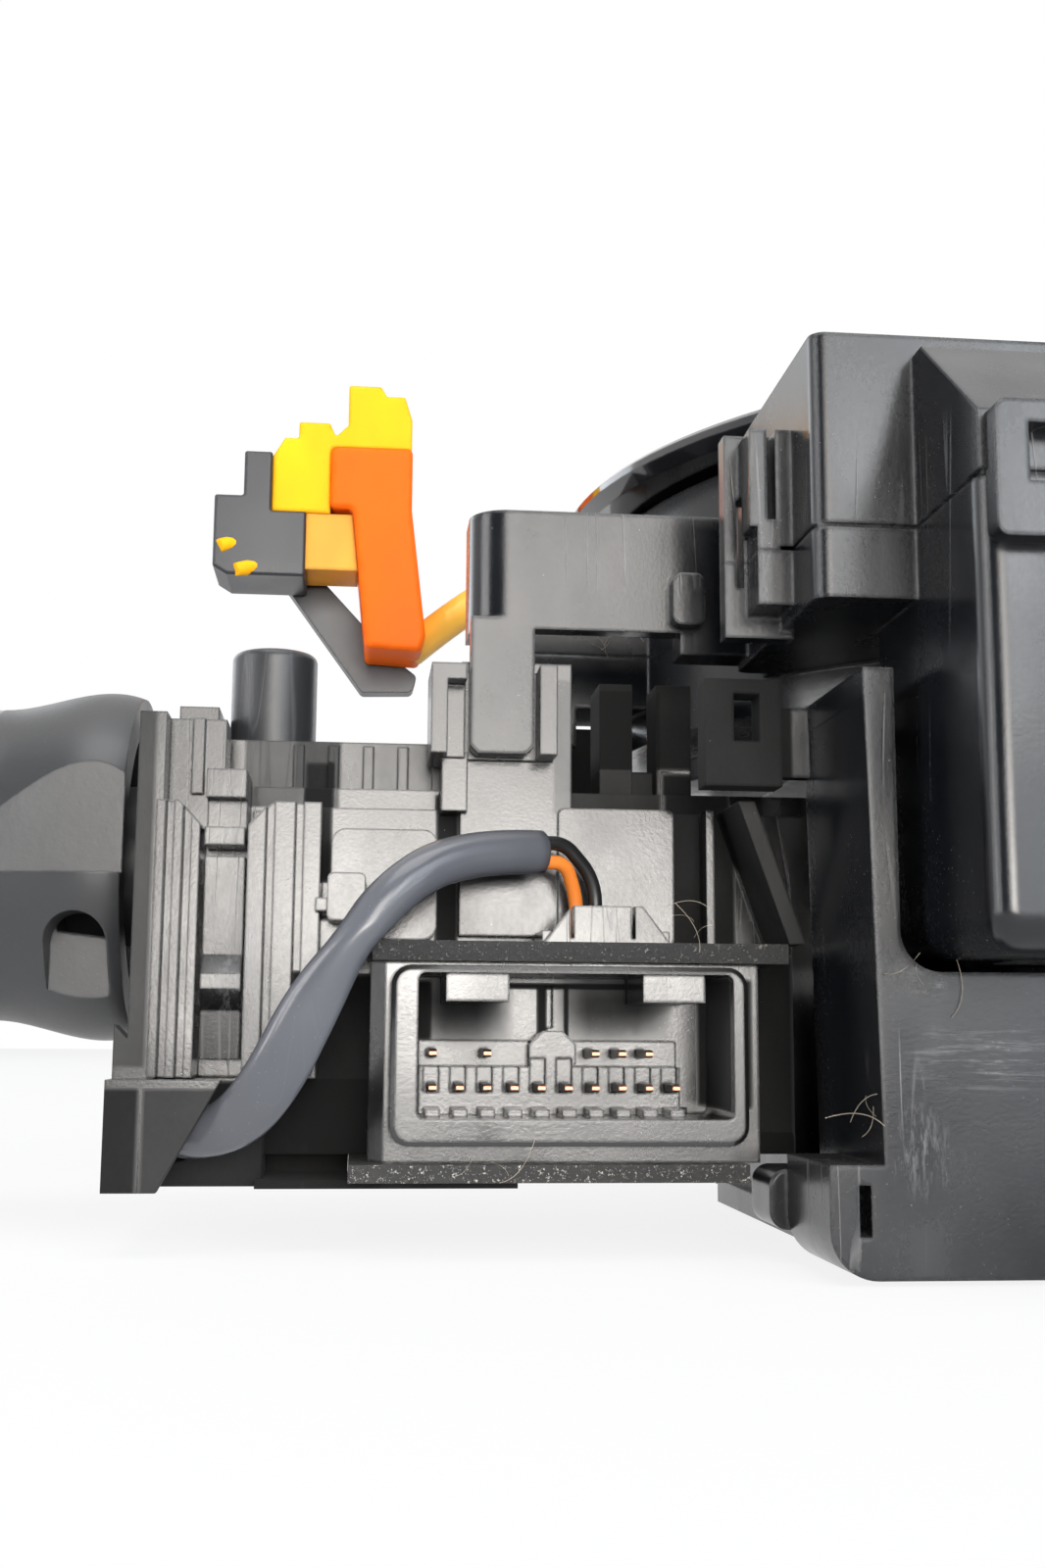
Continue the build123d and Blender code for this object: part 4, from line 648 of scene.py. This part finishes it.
@dataclass
class Studio:
    """Camera, lamps, floor and world."""

    camera_place: Point = (-0.074, -0.175, 0.017)
    yaw: float = math.radians(5.55)
    pitch: float = math.radians(8.56)
    roll: float = math.radians(0.378)
    focal_pixels: float = 1700.0
    sensor: float = 36.0
    floor_z: float = -0.0004
    floor_half: float = 1.6
    room_glow: float = 0.06
    fill: float = 0.09

    def set_camera(self) -> None:
        """Place the camera at the photograph's viewpoint."""
        forward = Vector((math.sin(self.yaw) * math.cos(self.pitch),
                          math.cos(self.yaw) * math.cos(self.pitch), math.sin(self.pitch)))
        level = Vector((math.cos(self.yaw), -math.sin(self.yaw), 0.0))
        upright = level.cross(forward)
        right = math.cos(self.roll) * level + math.sin(self.roll) * upright
        up = -math.sin(self.roll) * level + math.cos(self.roll) * upright
        data = bpy.data.cameras.new("camera")
        data.sensor_width = self.sensor
        data.lens = self.focal_pixels / IMAGE_HEIGHT * self.sensor
        data.clip_start = 0.005
        camera = bpy.data.objects.new("camera", data)
        turn = Matrix((right, up, -forward)).transposed().to_4x4()
        camera.matrix_world = Matrix.Translation(Vector(self.camera_place)) @ turn
        bpy.context.scene.collection.objects.link(camera)
        bpy.context.scene.camera = camera

    def set_lamps(self) -> None:
        """Hang the softboxes."""
        warm, cool, plain = (1.0, 0.965, 0.92), (0.88, 0.94, 1.0), (1.0, 1.0, 1.0)
        for name, place, aim, width, height, radiance, tint in (
            ("key", (-0.045, -0.95, 0.22), (-0.05, 0.0, 0.04), 0.36, 0.50, 9.8, warm),
            ("upper_right", (0.55, -0.75, 0.46), (-0.03, -0.03, 0.05), 0.85, 0.50, 4.2, cool),
            ("low_key", (-0.02, -0.80, 0.065), (-0.05, 0.0, 0.02), 0.34, 0.12, 12.0, warm),
            ("mid_right", (0.25, -0.86, 0.32), (-0.04, -0.05, 0.05), 0.17, 0.30, 6.0, plain),
            ("low_right", (0.60, -0.80, 0.06), (-0.03, -0.03, 0.02), 0.76, 0.22, 4.4, cool),
            ("strip_left", (-0.92, -0.43, 0.24), (-0.05, -0.03, 0.04), 0.09, 0.60, 13.0, plain),
            ("strip_side", (-0.92, -0.20, 0.22), (-0.03, -0.06, 0.04), 0.09, 0.60, 11.0, plain),
            ("top", (-0.08, -0.30, 0.92), (-0.05, 0.0, 0.03), 0.70, 0.60, 3.6, plain),
            ("back_left", (-0.60, 0.70, 0.40), (-0.06, 0.0, 0.05), 0.50, 0.50, 2.2, cool),
            ("back_right", (0.60, 0.70, 0.40), (0.0, 0.0, 0.05), 0.50, 0.50, 1.6, cool),
        ):
            data = bpy.data.lights.new(name, "AREA")
            data.shape = "RECTANGLE"
            data.size = width
            data.size_y = height
            data.energy = radiance * math.pi * width * height
            data.color = tint
            lamp = bpy.data.objects.new(name, data)
            lamp.location = place
            toward = Vector(aim) - Vector(place)
            lamp.rotation_euler = toward.to_track_quat("-Z", "Y").to_euler()
            bpy.context.scene.collection.objects.link(lamp)

    def set_world(self) -> None:
        """Show plain white to the camera and behind the object, and a dimmer room before it."""
        world = bpy.data.worlds.new("room")
        bpy.context.scene.world = world
        world.use_nodes = True
        graph = NodeGraph(world.node_tree)
        background = world.node_tree.nodes["Background"]
        path = graph.add("ShaderNodeLightPath")
        toward = graph.axes(graph.add("ShaderNodeTexCoord").outputs["Generated"])
        plain = graph.math("MAXIMUM", path.outputs["Is Camera Ray"],
                           path.outputs["Is Transmission Ray"])
        mirrored = graph.math("MULTIPLY", path.outputs["Is Glossy Ray"],
                              graph.span(toward["Y"], -0.55, 0.15, self.room_glow, 1.0))
        seen = graph.math("MAXIMUM", plain, mirrored)
        graph.feed(background.inputs["Color"], graph.mix(seen, (0.84, 0.91, 1.0), (1.0, 1.0, 1.0)))
        graph.feed(background.inputs["Strength"], graph.math("MAXIMUM", seen, self.fill))

    def set_floor(self) -> None:
        """Lay a pale floor that keeps a faint shadow."""
        material = bpy.data.materials.new("floor")
        material.use_nodes = True
        graph = NodeGraph(material.node_tree)
        nodes = material.node_tree.nodes
        shader = nodes["Principled BSDF"]
        shader.inputs["Base Color"].default_value = (0.88, 0.89, 0.91, 1.0)
        shader.inputs["Roughness"].default_value = 0.6
        glow = graph.add("ShaderNodeEmission", Color=(1.0, 1.0, 1.0, 1.0))
        path = graph.add("ShaderNodeLightPath")
        seen = graph.math("MAXIMUM", path.outputs["Is Camera Ray"], path.outputs["Is Glossy Ray"])
        mixed = graph.add("ShaderNodeMixShader")
        graph.feed(mixed.inputs[0], graph.math("MULTIPLY", seen, 0.85))
        graph.feed(mixed.inputs[1], shader.outputs[0])
        graph.feed(mixed.inputs[2], glow.outputs[0])
        graph.feed(nodes["Material Output"].inputs["Surface"], mixed.outputs[0])
        half = self.floor_half
        mesh = bpy.data.meshes.new("floor")
        mesh.from_pydata([(-half, -half, self.floor_z), (half, -half, self.floor_z),
                          (half, half, self.floor_z), (-half, half, self.floor_z)],
                         [], [(0, 1, 2, 3)])
        mesh.materials.append(material)
        floor = bpy.data.objects.new("floor", mesh)
        bpy.context.scene.collection.objects.link(floor)

    def build(self) -> None:
        """Set the whole stage."""
        self.set_camera()
        self.set_lamps()
        self.set_world()
        self.set_floor()
        bpy.context.scene.view_settings.view_transform = "Standard"


class Palette:
    """The object's materials, one for each finish."""

    def __init__(self) -> None:
        """Build the shared effects and every finish."""
        self.effects = Effects()
        self.materials = {
            finish: look.build(finish.value, self.effects) for finish, look in FINISHES.items()
        }

    def dress(self, piece: Piece, finish: Finish) -> None:
        """Give a piece one finish in place of what it carries."""
        piece.data.materials.clear()
        piece.data.materials.append(self.materials[finish])


NODE_FINISHES = {
    "insulating_board": Finish.INSULATOR,
    "right_insulating_board": Finish.INSULATOR,
    "left_lever_bracket": Finish.LEVER,
    "right_lever_bracket": Finish.LEVER,
}


def metres(points: Iterable[Point]) -> tuple[Point, ...]:
    """Turn points in millimetres into points in metres."""
    return tuple((x * MM, y * MM, z * MM) for x, y, z in points)


def link(name: str, data: bpy.types.ID) -> Piece:
    """Make an object of some data and put it in the scene."""
    piece = bpy.data.objects.new(name, data)
    bpy.context.scene.collection.objects.link(piece)
    return piece


def nurbs(name: str, route: Sequence[Point], resolution: int = 12) -> bpy.types.Curve:
    """Make a curve of one smooth spline, with so many steps between two control points."""
    data = bpy.data.curves.new(name, "CURVE")
    data.dimensions = "3D"
    spline = data.splines.new("NURBS")
    spline.points.add(len(route) - 1)
    for point, place in zip(spline.points, route):
        point.co = (*place, 1.0)
    spline.order_u = 3
    spline.use_endpoint_u = True
    spline.resolution_u = resolution
    return data


def spline_line(route: Sequence[Point], resolution: int) -> list[Vector]:
    """Read the line that a smooth spline draws along its route."""
    source = bpy.data.objects.new("route", nurbs("route", route, resolution))
    mesh = bpy.data.meshes.new_from_object(source)
    line = [vertex.co.copy() for vertex in mesh.vertices]
    curve = source.data
    bpy.data.objects.remove(source)
    bpy.data.curves.remove(curve)
    bpy.data.meshes.remove(mesh)
    return line


def swept_tube(name: str, line: Sequence[Vector], section: Callable[[float], Point],
               sides: int) -> Piece:
    """Sweep an ellipse along a line.

    Args:
        name: The piece's name.
        line: The points of the centre line.
        section: Gives the half width, half height and turn at a share of the way along.
        sides: The points round the ellipse.

    Returns:
        The tube's object, closed at both ends.
    """
    form = bmesh.new()
    reach = [0.0]
    for first, second in zip(line, line[1:]):
        reach.append(reach[-1] + (second - first).length)
    across = Vector((0.0, 0.0, 1.0))
    rings = []
    for index, centre in enumerate(line):
        ahead = line[min(index + 1, len(line) - 1)] - line[max(index - 1, 0)]
        ahead.normalize()
        across = (across - across.dot(ahead) * ahead).normalized()
        other = ahead.cross(across)
        wide, high, turn = section(reach[index] / reach[-1])
        ring = []
        for step in range(sides):
            angle = 2.0 * math.pi * step / sides
            flat = Vector((wide * math.cos(angle), high * math.sin(angle)))
            side = flat.x * math.cos(turn) - flat.y * math.sin(turn)
            lift = flat.x * math.sin(turn) + flat.y * math.cos(turn)
            ring.append(form.verts.new(centre + side * across + lift * other))
        rings.append(ring)
    for near, far in zip(rings, rings[1:]):
        for step in range(sides):
            after = (step + 1) % sides
            form.faces.new((near[step], near[after], far[after], far[step]))
    form.faces.new(list(reversed(rings[0])))
    form.faces.new(rings[-1])
    bmesh.ops.recalc_face_normals(form, faces=form.faces)
    for face in form.faces:
        face.smooth = len(face.verts) == 4
    mesh = bpy.data.meshes.new(name)
    form.to_mesh(mesh)
    form.free()
    return link(name, mesh)


@dataclass
class PigtailCord:
    """The airbag pigtail, a stiff cord from the rotor to its plug."""

    diameter: float = 0.0044
    length: float = 0.0335
    route: tuple[Point, ...] = metres((
        (-40.706, 25.436, 76.5), (-50.204, 31.371, 76.5), (-60.0, 37.4, 73.5), (-68.0, 42.1, 67.4)))
    carried: tuple[str, ...] = ("airbag_plug", "airbag_plug_lock", "airbag_side_cover",
                                "airbag_wire_cap", "airbag_strap")

    def build(self, palette: Palette, nodes: dict[str, Piece]) -> None:
        data = nurbs("pigtail", self.route)
        data.bevel_depth = self.diameter / 2
        data.bevel_resolution = 5
        data.use_fill_caps = True
        cord = link("pigtail", data)
        palette.dress(cord, Finish.PIGTAIL)
        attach(cord, "rotor_body")
        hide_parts("pigtail_tube")


@dataclass
class FlatLead:
    """The grey sheath in front of the left module, pressed flat and turned in its middle."""

    round_half: float = 1.85 * MM
    flat_wide: float = 2.4 * MM
    flat_high: float = 1.05 * MM
    pinch_wide: float = 1.45 * MM
    press_from: float = 0.06
    press_span: float = 0.56
    pinch_at: float = 0.57
    pinch_reach: float = 0.08
    first_turn: float = 0.5
    added_turn: float = 1.3
    turn_at: float = 0.60
    turn_reach: float = 0.035
    route: tuple[Point, ...] = metres((
        (-89.4, -32.4, 8.8), (-87.6, -35.9, 8.6), (-83.4, -38.6, 9.8), (-80.4, -42.0, 13.4),
        (-77.1, -44.0, 20.2), (-72.0, -44.2, 27.8), (-66.0, -41.0, 31.8), (-59.2, -38.0, 32.0)))

    def section(self, share: float) -> tuple[float, float, float]:
        """Give the sheath's half sizes and turn at a share of its length."""
        along = min(max((share - self.press_from) / self.press_span, 0.0), 1.0)
        pressed = max(0.0, math.sin(math.pi * along)) ** 0.8
        pinched = math.exp(-((share - self.pinch_at) / self.pinch_reach) ** 2)
        wide = self.round_half + (self.flat_wide - self.round_half) * pressed
        wide += (self.pinch_wide - self.round_half) * pinched
        high = self.round_half + (self.flat_high - self.round_half) * pressed
        turned = 1.0 / (1.0 + math.exp(-(share - self.turn_at) / self.turn_reach))
        turn = self.first_turn + self.added_turn * turned
        return wide, high, turn

    def build(self, palette: Palette) -> None:
        """Make the sheath in place of the plain one."""
        line = spline_line(self.route, 14)
        lead = swept_tube("lead_sheath", line, self.section, 28)
        palette.dress(lead, Finish.LEAD)
        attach(lead, "column_fixed")
        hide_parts("grey_lead")
        LOG.info("lead sheath, %d faces", len(lead.data.polygons))


@dataclass
class PlungerCoils:
    """The detent plungers' springs."""

    seat_x: float = 70.3 * MM
    axis_y: float = -14.0 * MM
    axis_z: float = 32.6 * MM
    pressed_share: float = 0.60

    def build(self, palette: Palette, nodes: dict[str, Piece]) -> None:
        """Make both coils from the frame's springs."""
        for side, sign in (("left", -1.0), ("right", 1.0)):
            spring = nodes[f"{side}_plunger_spring"]
            mesh = spring.data.copy()
            mesh.transform(spring.matrix_world)
            coil = link(f"{side}_coil", mesh)
            palette.dress(coil, Finish.STEEL)
            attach(coil, f"{side}_lever_body")
            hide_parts(f"{side}_plunger_spring")
            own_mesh(coil)
            LOG.info("%s coil, %d faces", side, len(mesh.polygons))


@dataclass
class WireEnds:
    """The two crimped wire ends that stand out of the airbag plug's cap."""

    half: float = 0.85 * MM
    routes: tuple[tuple[Point, ...], ...] = (
        metres(((-89.0, 37.5, 79.6), (-91.4, 36.4, 79.9), (-93.0, 35.4, 79.0))),
        metres(((-87.0, 37.0, 77.0), (-89.4, 36.0, 76.4), (-90.8, 35.3, 75.9))),
    )

    def section(self, share: float) -> tuple[float, float, float]:
        """Give the wire's half size, a little fuller at its crimped middle."""
        full = self.half * (1.0 + 0.18 * math.sin(math.pi * share))
        return full, full, 0.0

    def build(self, palette: Palette) -> None:
        """Make both wire ends."""
        for number, route in enumerate(self.routes, 1):
            end = swept_tube(f"wire_end_{number}", spline_line(route, 6), self.section, 14)
            palette.dress(end, Finish.PLUG_YELLOW)
            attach(end, "rotor_body")
        LOG.info("%d wire ends", len(self.routes))


class NodeForm:
    """A Geometry Nodes tree with named inputs, and its result as a plain mesh."""

    def __init__(self, name: str, **inputs: str) -> None:
        """Start the tree.

        Args:
            name: The tree's name.
            inputs: Each input's kind of socket by name.
        """
        self.tree = bpy.data.node_groups.new(name, "GeometryNodeTree")
        self.tree.interface.new_socket("Geometry", in_out="INPUT", socket_type="NodeSocketGeometry")
        self.keys: dict[str, str] = {}
        for title, kind in inputs.items():
            socket = self.tree.interface.new_socket(title, in_out="INPUT",
                                                    socket_type="NodeSocket" + kind)
            self.keys[title] = socket.identifier
        self.tree.interface.new_socket("Geometry", in_out="OUTPUT",
                                       socket_type="NodeSocketGeometry")
        self.graph = NodeGraph(self.tree)
        self.entry = self.tree.nodes.new("NodeGroupInput")
        self.leave = self.tree.nodes.new("NodeGroupOutput")

    def close(self, geometry: Socket) -> None:
        """End the tree in real geometry with its material set."""
        real = self.graph.add("GeometryNodeRealizeInstances", Geometry=geometry)
        dress = self.graph.add("GeometryNodeSetMaterial", Geometry=real.outputs[0],
                               Material=self.entry.outputs["Material"])
        self.graph.feed(self.leave.inputs[0], dress.outputs[0])

    def grow(self, name: str, base: bpy.types.Mesh, values: dict[str, Any]) -> Piece:
        """Run the tree on a mesh and keep the result as a plain piece.

        Args:
            name: The piece's name.
            base: The mesh that the tree starts from, which is then removed.
            values: Every input's value by name.

        Returns:
            The new piece, with no modifier on it.
        """
        source = link(name + "_source", base)
        modifier = source.modifiers.new("form", "NODES")
        modifier.node_group = self.tree
        for title, value in values.items():
            modifier[self.keys[title]] = value
        ready = source.evaluated_get(bpy.context.evaluated_depsgraph_get())
        mesh = bpy.data.meshes.new_from_object(ready)
        mesh.name = name
        bpy.data.objects.remove(source)
        bpy.data.meshes.remove(base)
        piece = link(name, mesh)
        LOG.info("%s, %d faces", name, len(mesh.polygons))
        return piece


@dataclass
class Fibres:
    """Stray fibres that cling to the mouldings, each a thin bent thread."""

    clusters: tuple[tuple[Point, Point, int], ...] = (
        ((-48.6, -12.5, 56.4), (2.6, 0.2, 1.6), 5),
        ((-42.4, -43.0, 50.0), (1.4, 0.3, 1.2), 2),
        ((-47.0, -47.5, 26.0), (2.2, 0.4, 1.0), 4),
        ((-38.2, -57.15, 12.5), (1.2, 0.05, 2.2), 4),
        ((-33.0, -57.15, 21.0), (2.0, 0.05, 1.4), 3),
        ((-47.0, -22.2, 44.5), (1.0, 0.2, 2.4), 4),
        ((-62.0, -44.9, 7.2), (4.0, 0.3, 0.5), 3),
        ((12.0, -57.15, 30.0), (14.0, 0.05, 8.0), 5),
    )
    length: float = 3.4 * MM
    thickness: float = 0.022 * MM
    seed: int = 12

    def tree(self) -> NodeForm:
        """Build the tree: a bent thread on every point, turned and sized at random."""
        form = NodeForm("stray_fibres", Length="Float", Thickness="Float", Seed="Int",
                        Material="Material")
        graph, entry = form.graph, form.entry
        half = graph.math("MULTIPLY", entry.outputs["Length"], 0.5)
        start = graph.add("ShaderNodeCombineXYZ", X=graph.math("MULTIPLY", half, -1.0))
        middle = graph.add("ShaderNodeCombineXYZ", X=graph.math("MULTIPLY", half, 0.3),
                           Z=graph.math("MULTIPLY", half, 0.6))
        end = graph.add("ShaderNodeCombineXYZ", X=half)
        thread = graph.add("GeometryNodeCurveQuadraticBezier", Resolution=9, Start=start.outputs[0],
                           Middle=middle.outputs[0], End=end.outputs[0])
        ring = graph.add("GeometryNodeCurvePrimitiveCircle", Resolution=4,
                         Radius=entry.outputs["Thickness"])
        tube = graph.add("GeometryNodeCurveToMesh", Curve=thread.outputs[0],
                         Profile_Curve=ring.outputs[0])
        spin = graph.add("FunctionNodeRandomValue", data_type="FLOAT_VECTOR",
                         Min=(-0.25, -math.pi, -0.25), Max=(0.25, math.pi, 0.25),
                         Seed=entry.outputs["Seed"])
        size = graph.add("FunctionNodeRandomValue", data_type="FLOAT")
        size.inputs[2].default_value = 0.45
        size.inputs[3].default_value = 1.3
        graph.feed(size.inputs["Seed"], graph.math("ADD", entry.outputs["Seed"], 1.0))
        placed = graph.add("GeometryNodeInstanceOnPoints", Points=entry.outputs[0],
                           Instance=tube.outputs[0], Rotation=spin.outputs[0],
                           Scale=size.outputs[1])
        form.close(placed.outputs[0])
        return form

    def build(self, palette: Palette) -> None:
        """Scatter the fibres' points and grow them."""
        chance = random.Random(self.seed)
        points = []
        for centre, spread, count in self.clusters:
            for _ in range(count):
                points.append(tuple((middle + chance.uniform(-half, half)) * MM
                                    for middle, half in zip(centre, spread)))
        base = bpy.data.meshes.new("fibre_points")
        base.from_pydata(points, [], [])
        piece = self.tree().grow("stray_fibres", base, {
            "Length": self.length, "Thickness": self.thickness, "Seed": self.seed,
            "Material": palette.materials[Finish.FIBRE]})
        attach(piece, "column_fixed")


@dataclass
class Flakes:
    """Tiny flakes on chosen faces: dust on the mouldings, and splinters on the cut board edges."""

    seed: int = 5

    def tree(self) -> NodeForm:
        """Build the tree: flakes strewn over the faces that look along an axis."""
        form = NodeForm("flakes", Axis="Vector", Low="Float", High="Float", Density="Float",
                        Size="Float", Seed="Int", Material="Material")
        graph, entry = form.graph, form.entry
        normal = graph.add("GeometryNodeInputNormal")
        facing = graph.vector("DOT_PRODUCT", normal.outputs[0], entry.outputs["Axis"])
        above = graph.math("GREATER_THAN", facing.outputs["Value"], entry.outputs["Low"])
        below = graph.math("LESS_THAN", facing.outputs["Value"], entry.outputs["High"])
        strewn = graph.add("GeometryNodeDistributePointsOnFaces", Mesh=entry.outputs[0],
                           Selection=graph.math("MULTIPLY", above, below),
                           Density=entry.outputs["Density"], Seed=entry.outputs["Seed"])
        flake = graph.add("GeometryNodeMeshIcoSphere", Radius=entry.outputs["Size"], Subdivisions=1)
        spin = graph.add("FunctionNodeRandomValue", data_type="FLOAT_VECTOR",
                         Min=(-math.pi, -math.pi, -math.pi), Max=(math.pi, math.pi, math.pi),
                         Seed=entry.outputs["Seed"])
        size = graph.add("FunctionNodeRandomValue", data_type="FLOAT_VECTOR",
                         Min=(0.25, 0.2, 0.2), Max=(1.7, 0.8, 0.6),
                         Seed=graph.math("ADD", entry.outputs["Seed"], 3.0))
        placed = graph.add("GeometryNodeInstanceOnPoints", Points=strewn.outputs["Points"],
                           Instance=flake.outputs[0], Rotation=spin.outputs[0],
                           Scale=size.outputs[0])
        form.close(placed.outputs[0])
        return form

    def build(self, palette: Palette, nodes: dict[str, Piece]) -> None:
        """Strew dust on copies of the mouldings, and splinters on copies of the boards."""
        form = self.tree()
        front = {"Axis": (0.0, -1.0, 0.0), "Low": 0.7, "High": 1.1}
        edges = {"Axis": (0.0, 0.0, 1.0), "Low": -0.3, "High": 0.3}
        for node, name, where, density, size in (
            ("base_bracket", "base_dust", front, 24000.0, 0.05 * MM),
            ("left_case", "left_case_dust", front, 20000.0, 0.04 * MM),
            ("right_case", "right_case_dust", front, 20000.0, 0.04 * MM),
            ("stator_case", "stator_dust", front, 12000.0, 0.04 * MM),
            ("circuit_board", "board_splinters", edges, 2400000.0, 0.045 * MM),
            ("insulating_board", "insulator_splinters", edges, 500000.0, 0.05 * MM),
            ("right_circuit_board", "right_board_splinters", edges, 1600000.0, 0.045 * MM),
            ("right_insulating_board", "right_insulator_splinters", edges, 500000.0, 0.05 * MM),
        ):
            values = {**where, "Density": density, "Size": size, "Seed": self.seed,
                      "Material": palette.materials[Finish.FLUFF]}
            piece = form.grow(name, nodes[node].data.copy(), values)
            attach(piece, "column_fixed")


def main() -> None:
    """Load the frame, set the stage, and dress and add the pieces."""
    logging.basicConfig(level=logging.INFO, format="%(message)s")
    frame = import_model()
    Studio().build()
    palette = Palette()
    slots = {entry["node"]: entry["material_slot"] for entry in frame["record"]["subparts"]}
    for name, node in frame["nodes"].items():
        palette.dress(node, NODE_FINISHES.get(name, Finish(slots[name])))
    LOG.info("dressed %d nodes", len(frame["nodes"]))
    nodes = frame["nodes"]
    PigtailCord().build(palette, nodes)
    FlatLead().build(palette)
    PlungerCoils().build(palette, nodes)
    WireEnds().build(palette)
    Fibres().build(palette)
    Flakes().build(palette, nodes)


if __name__ == "__main__":
    main()
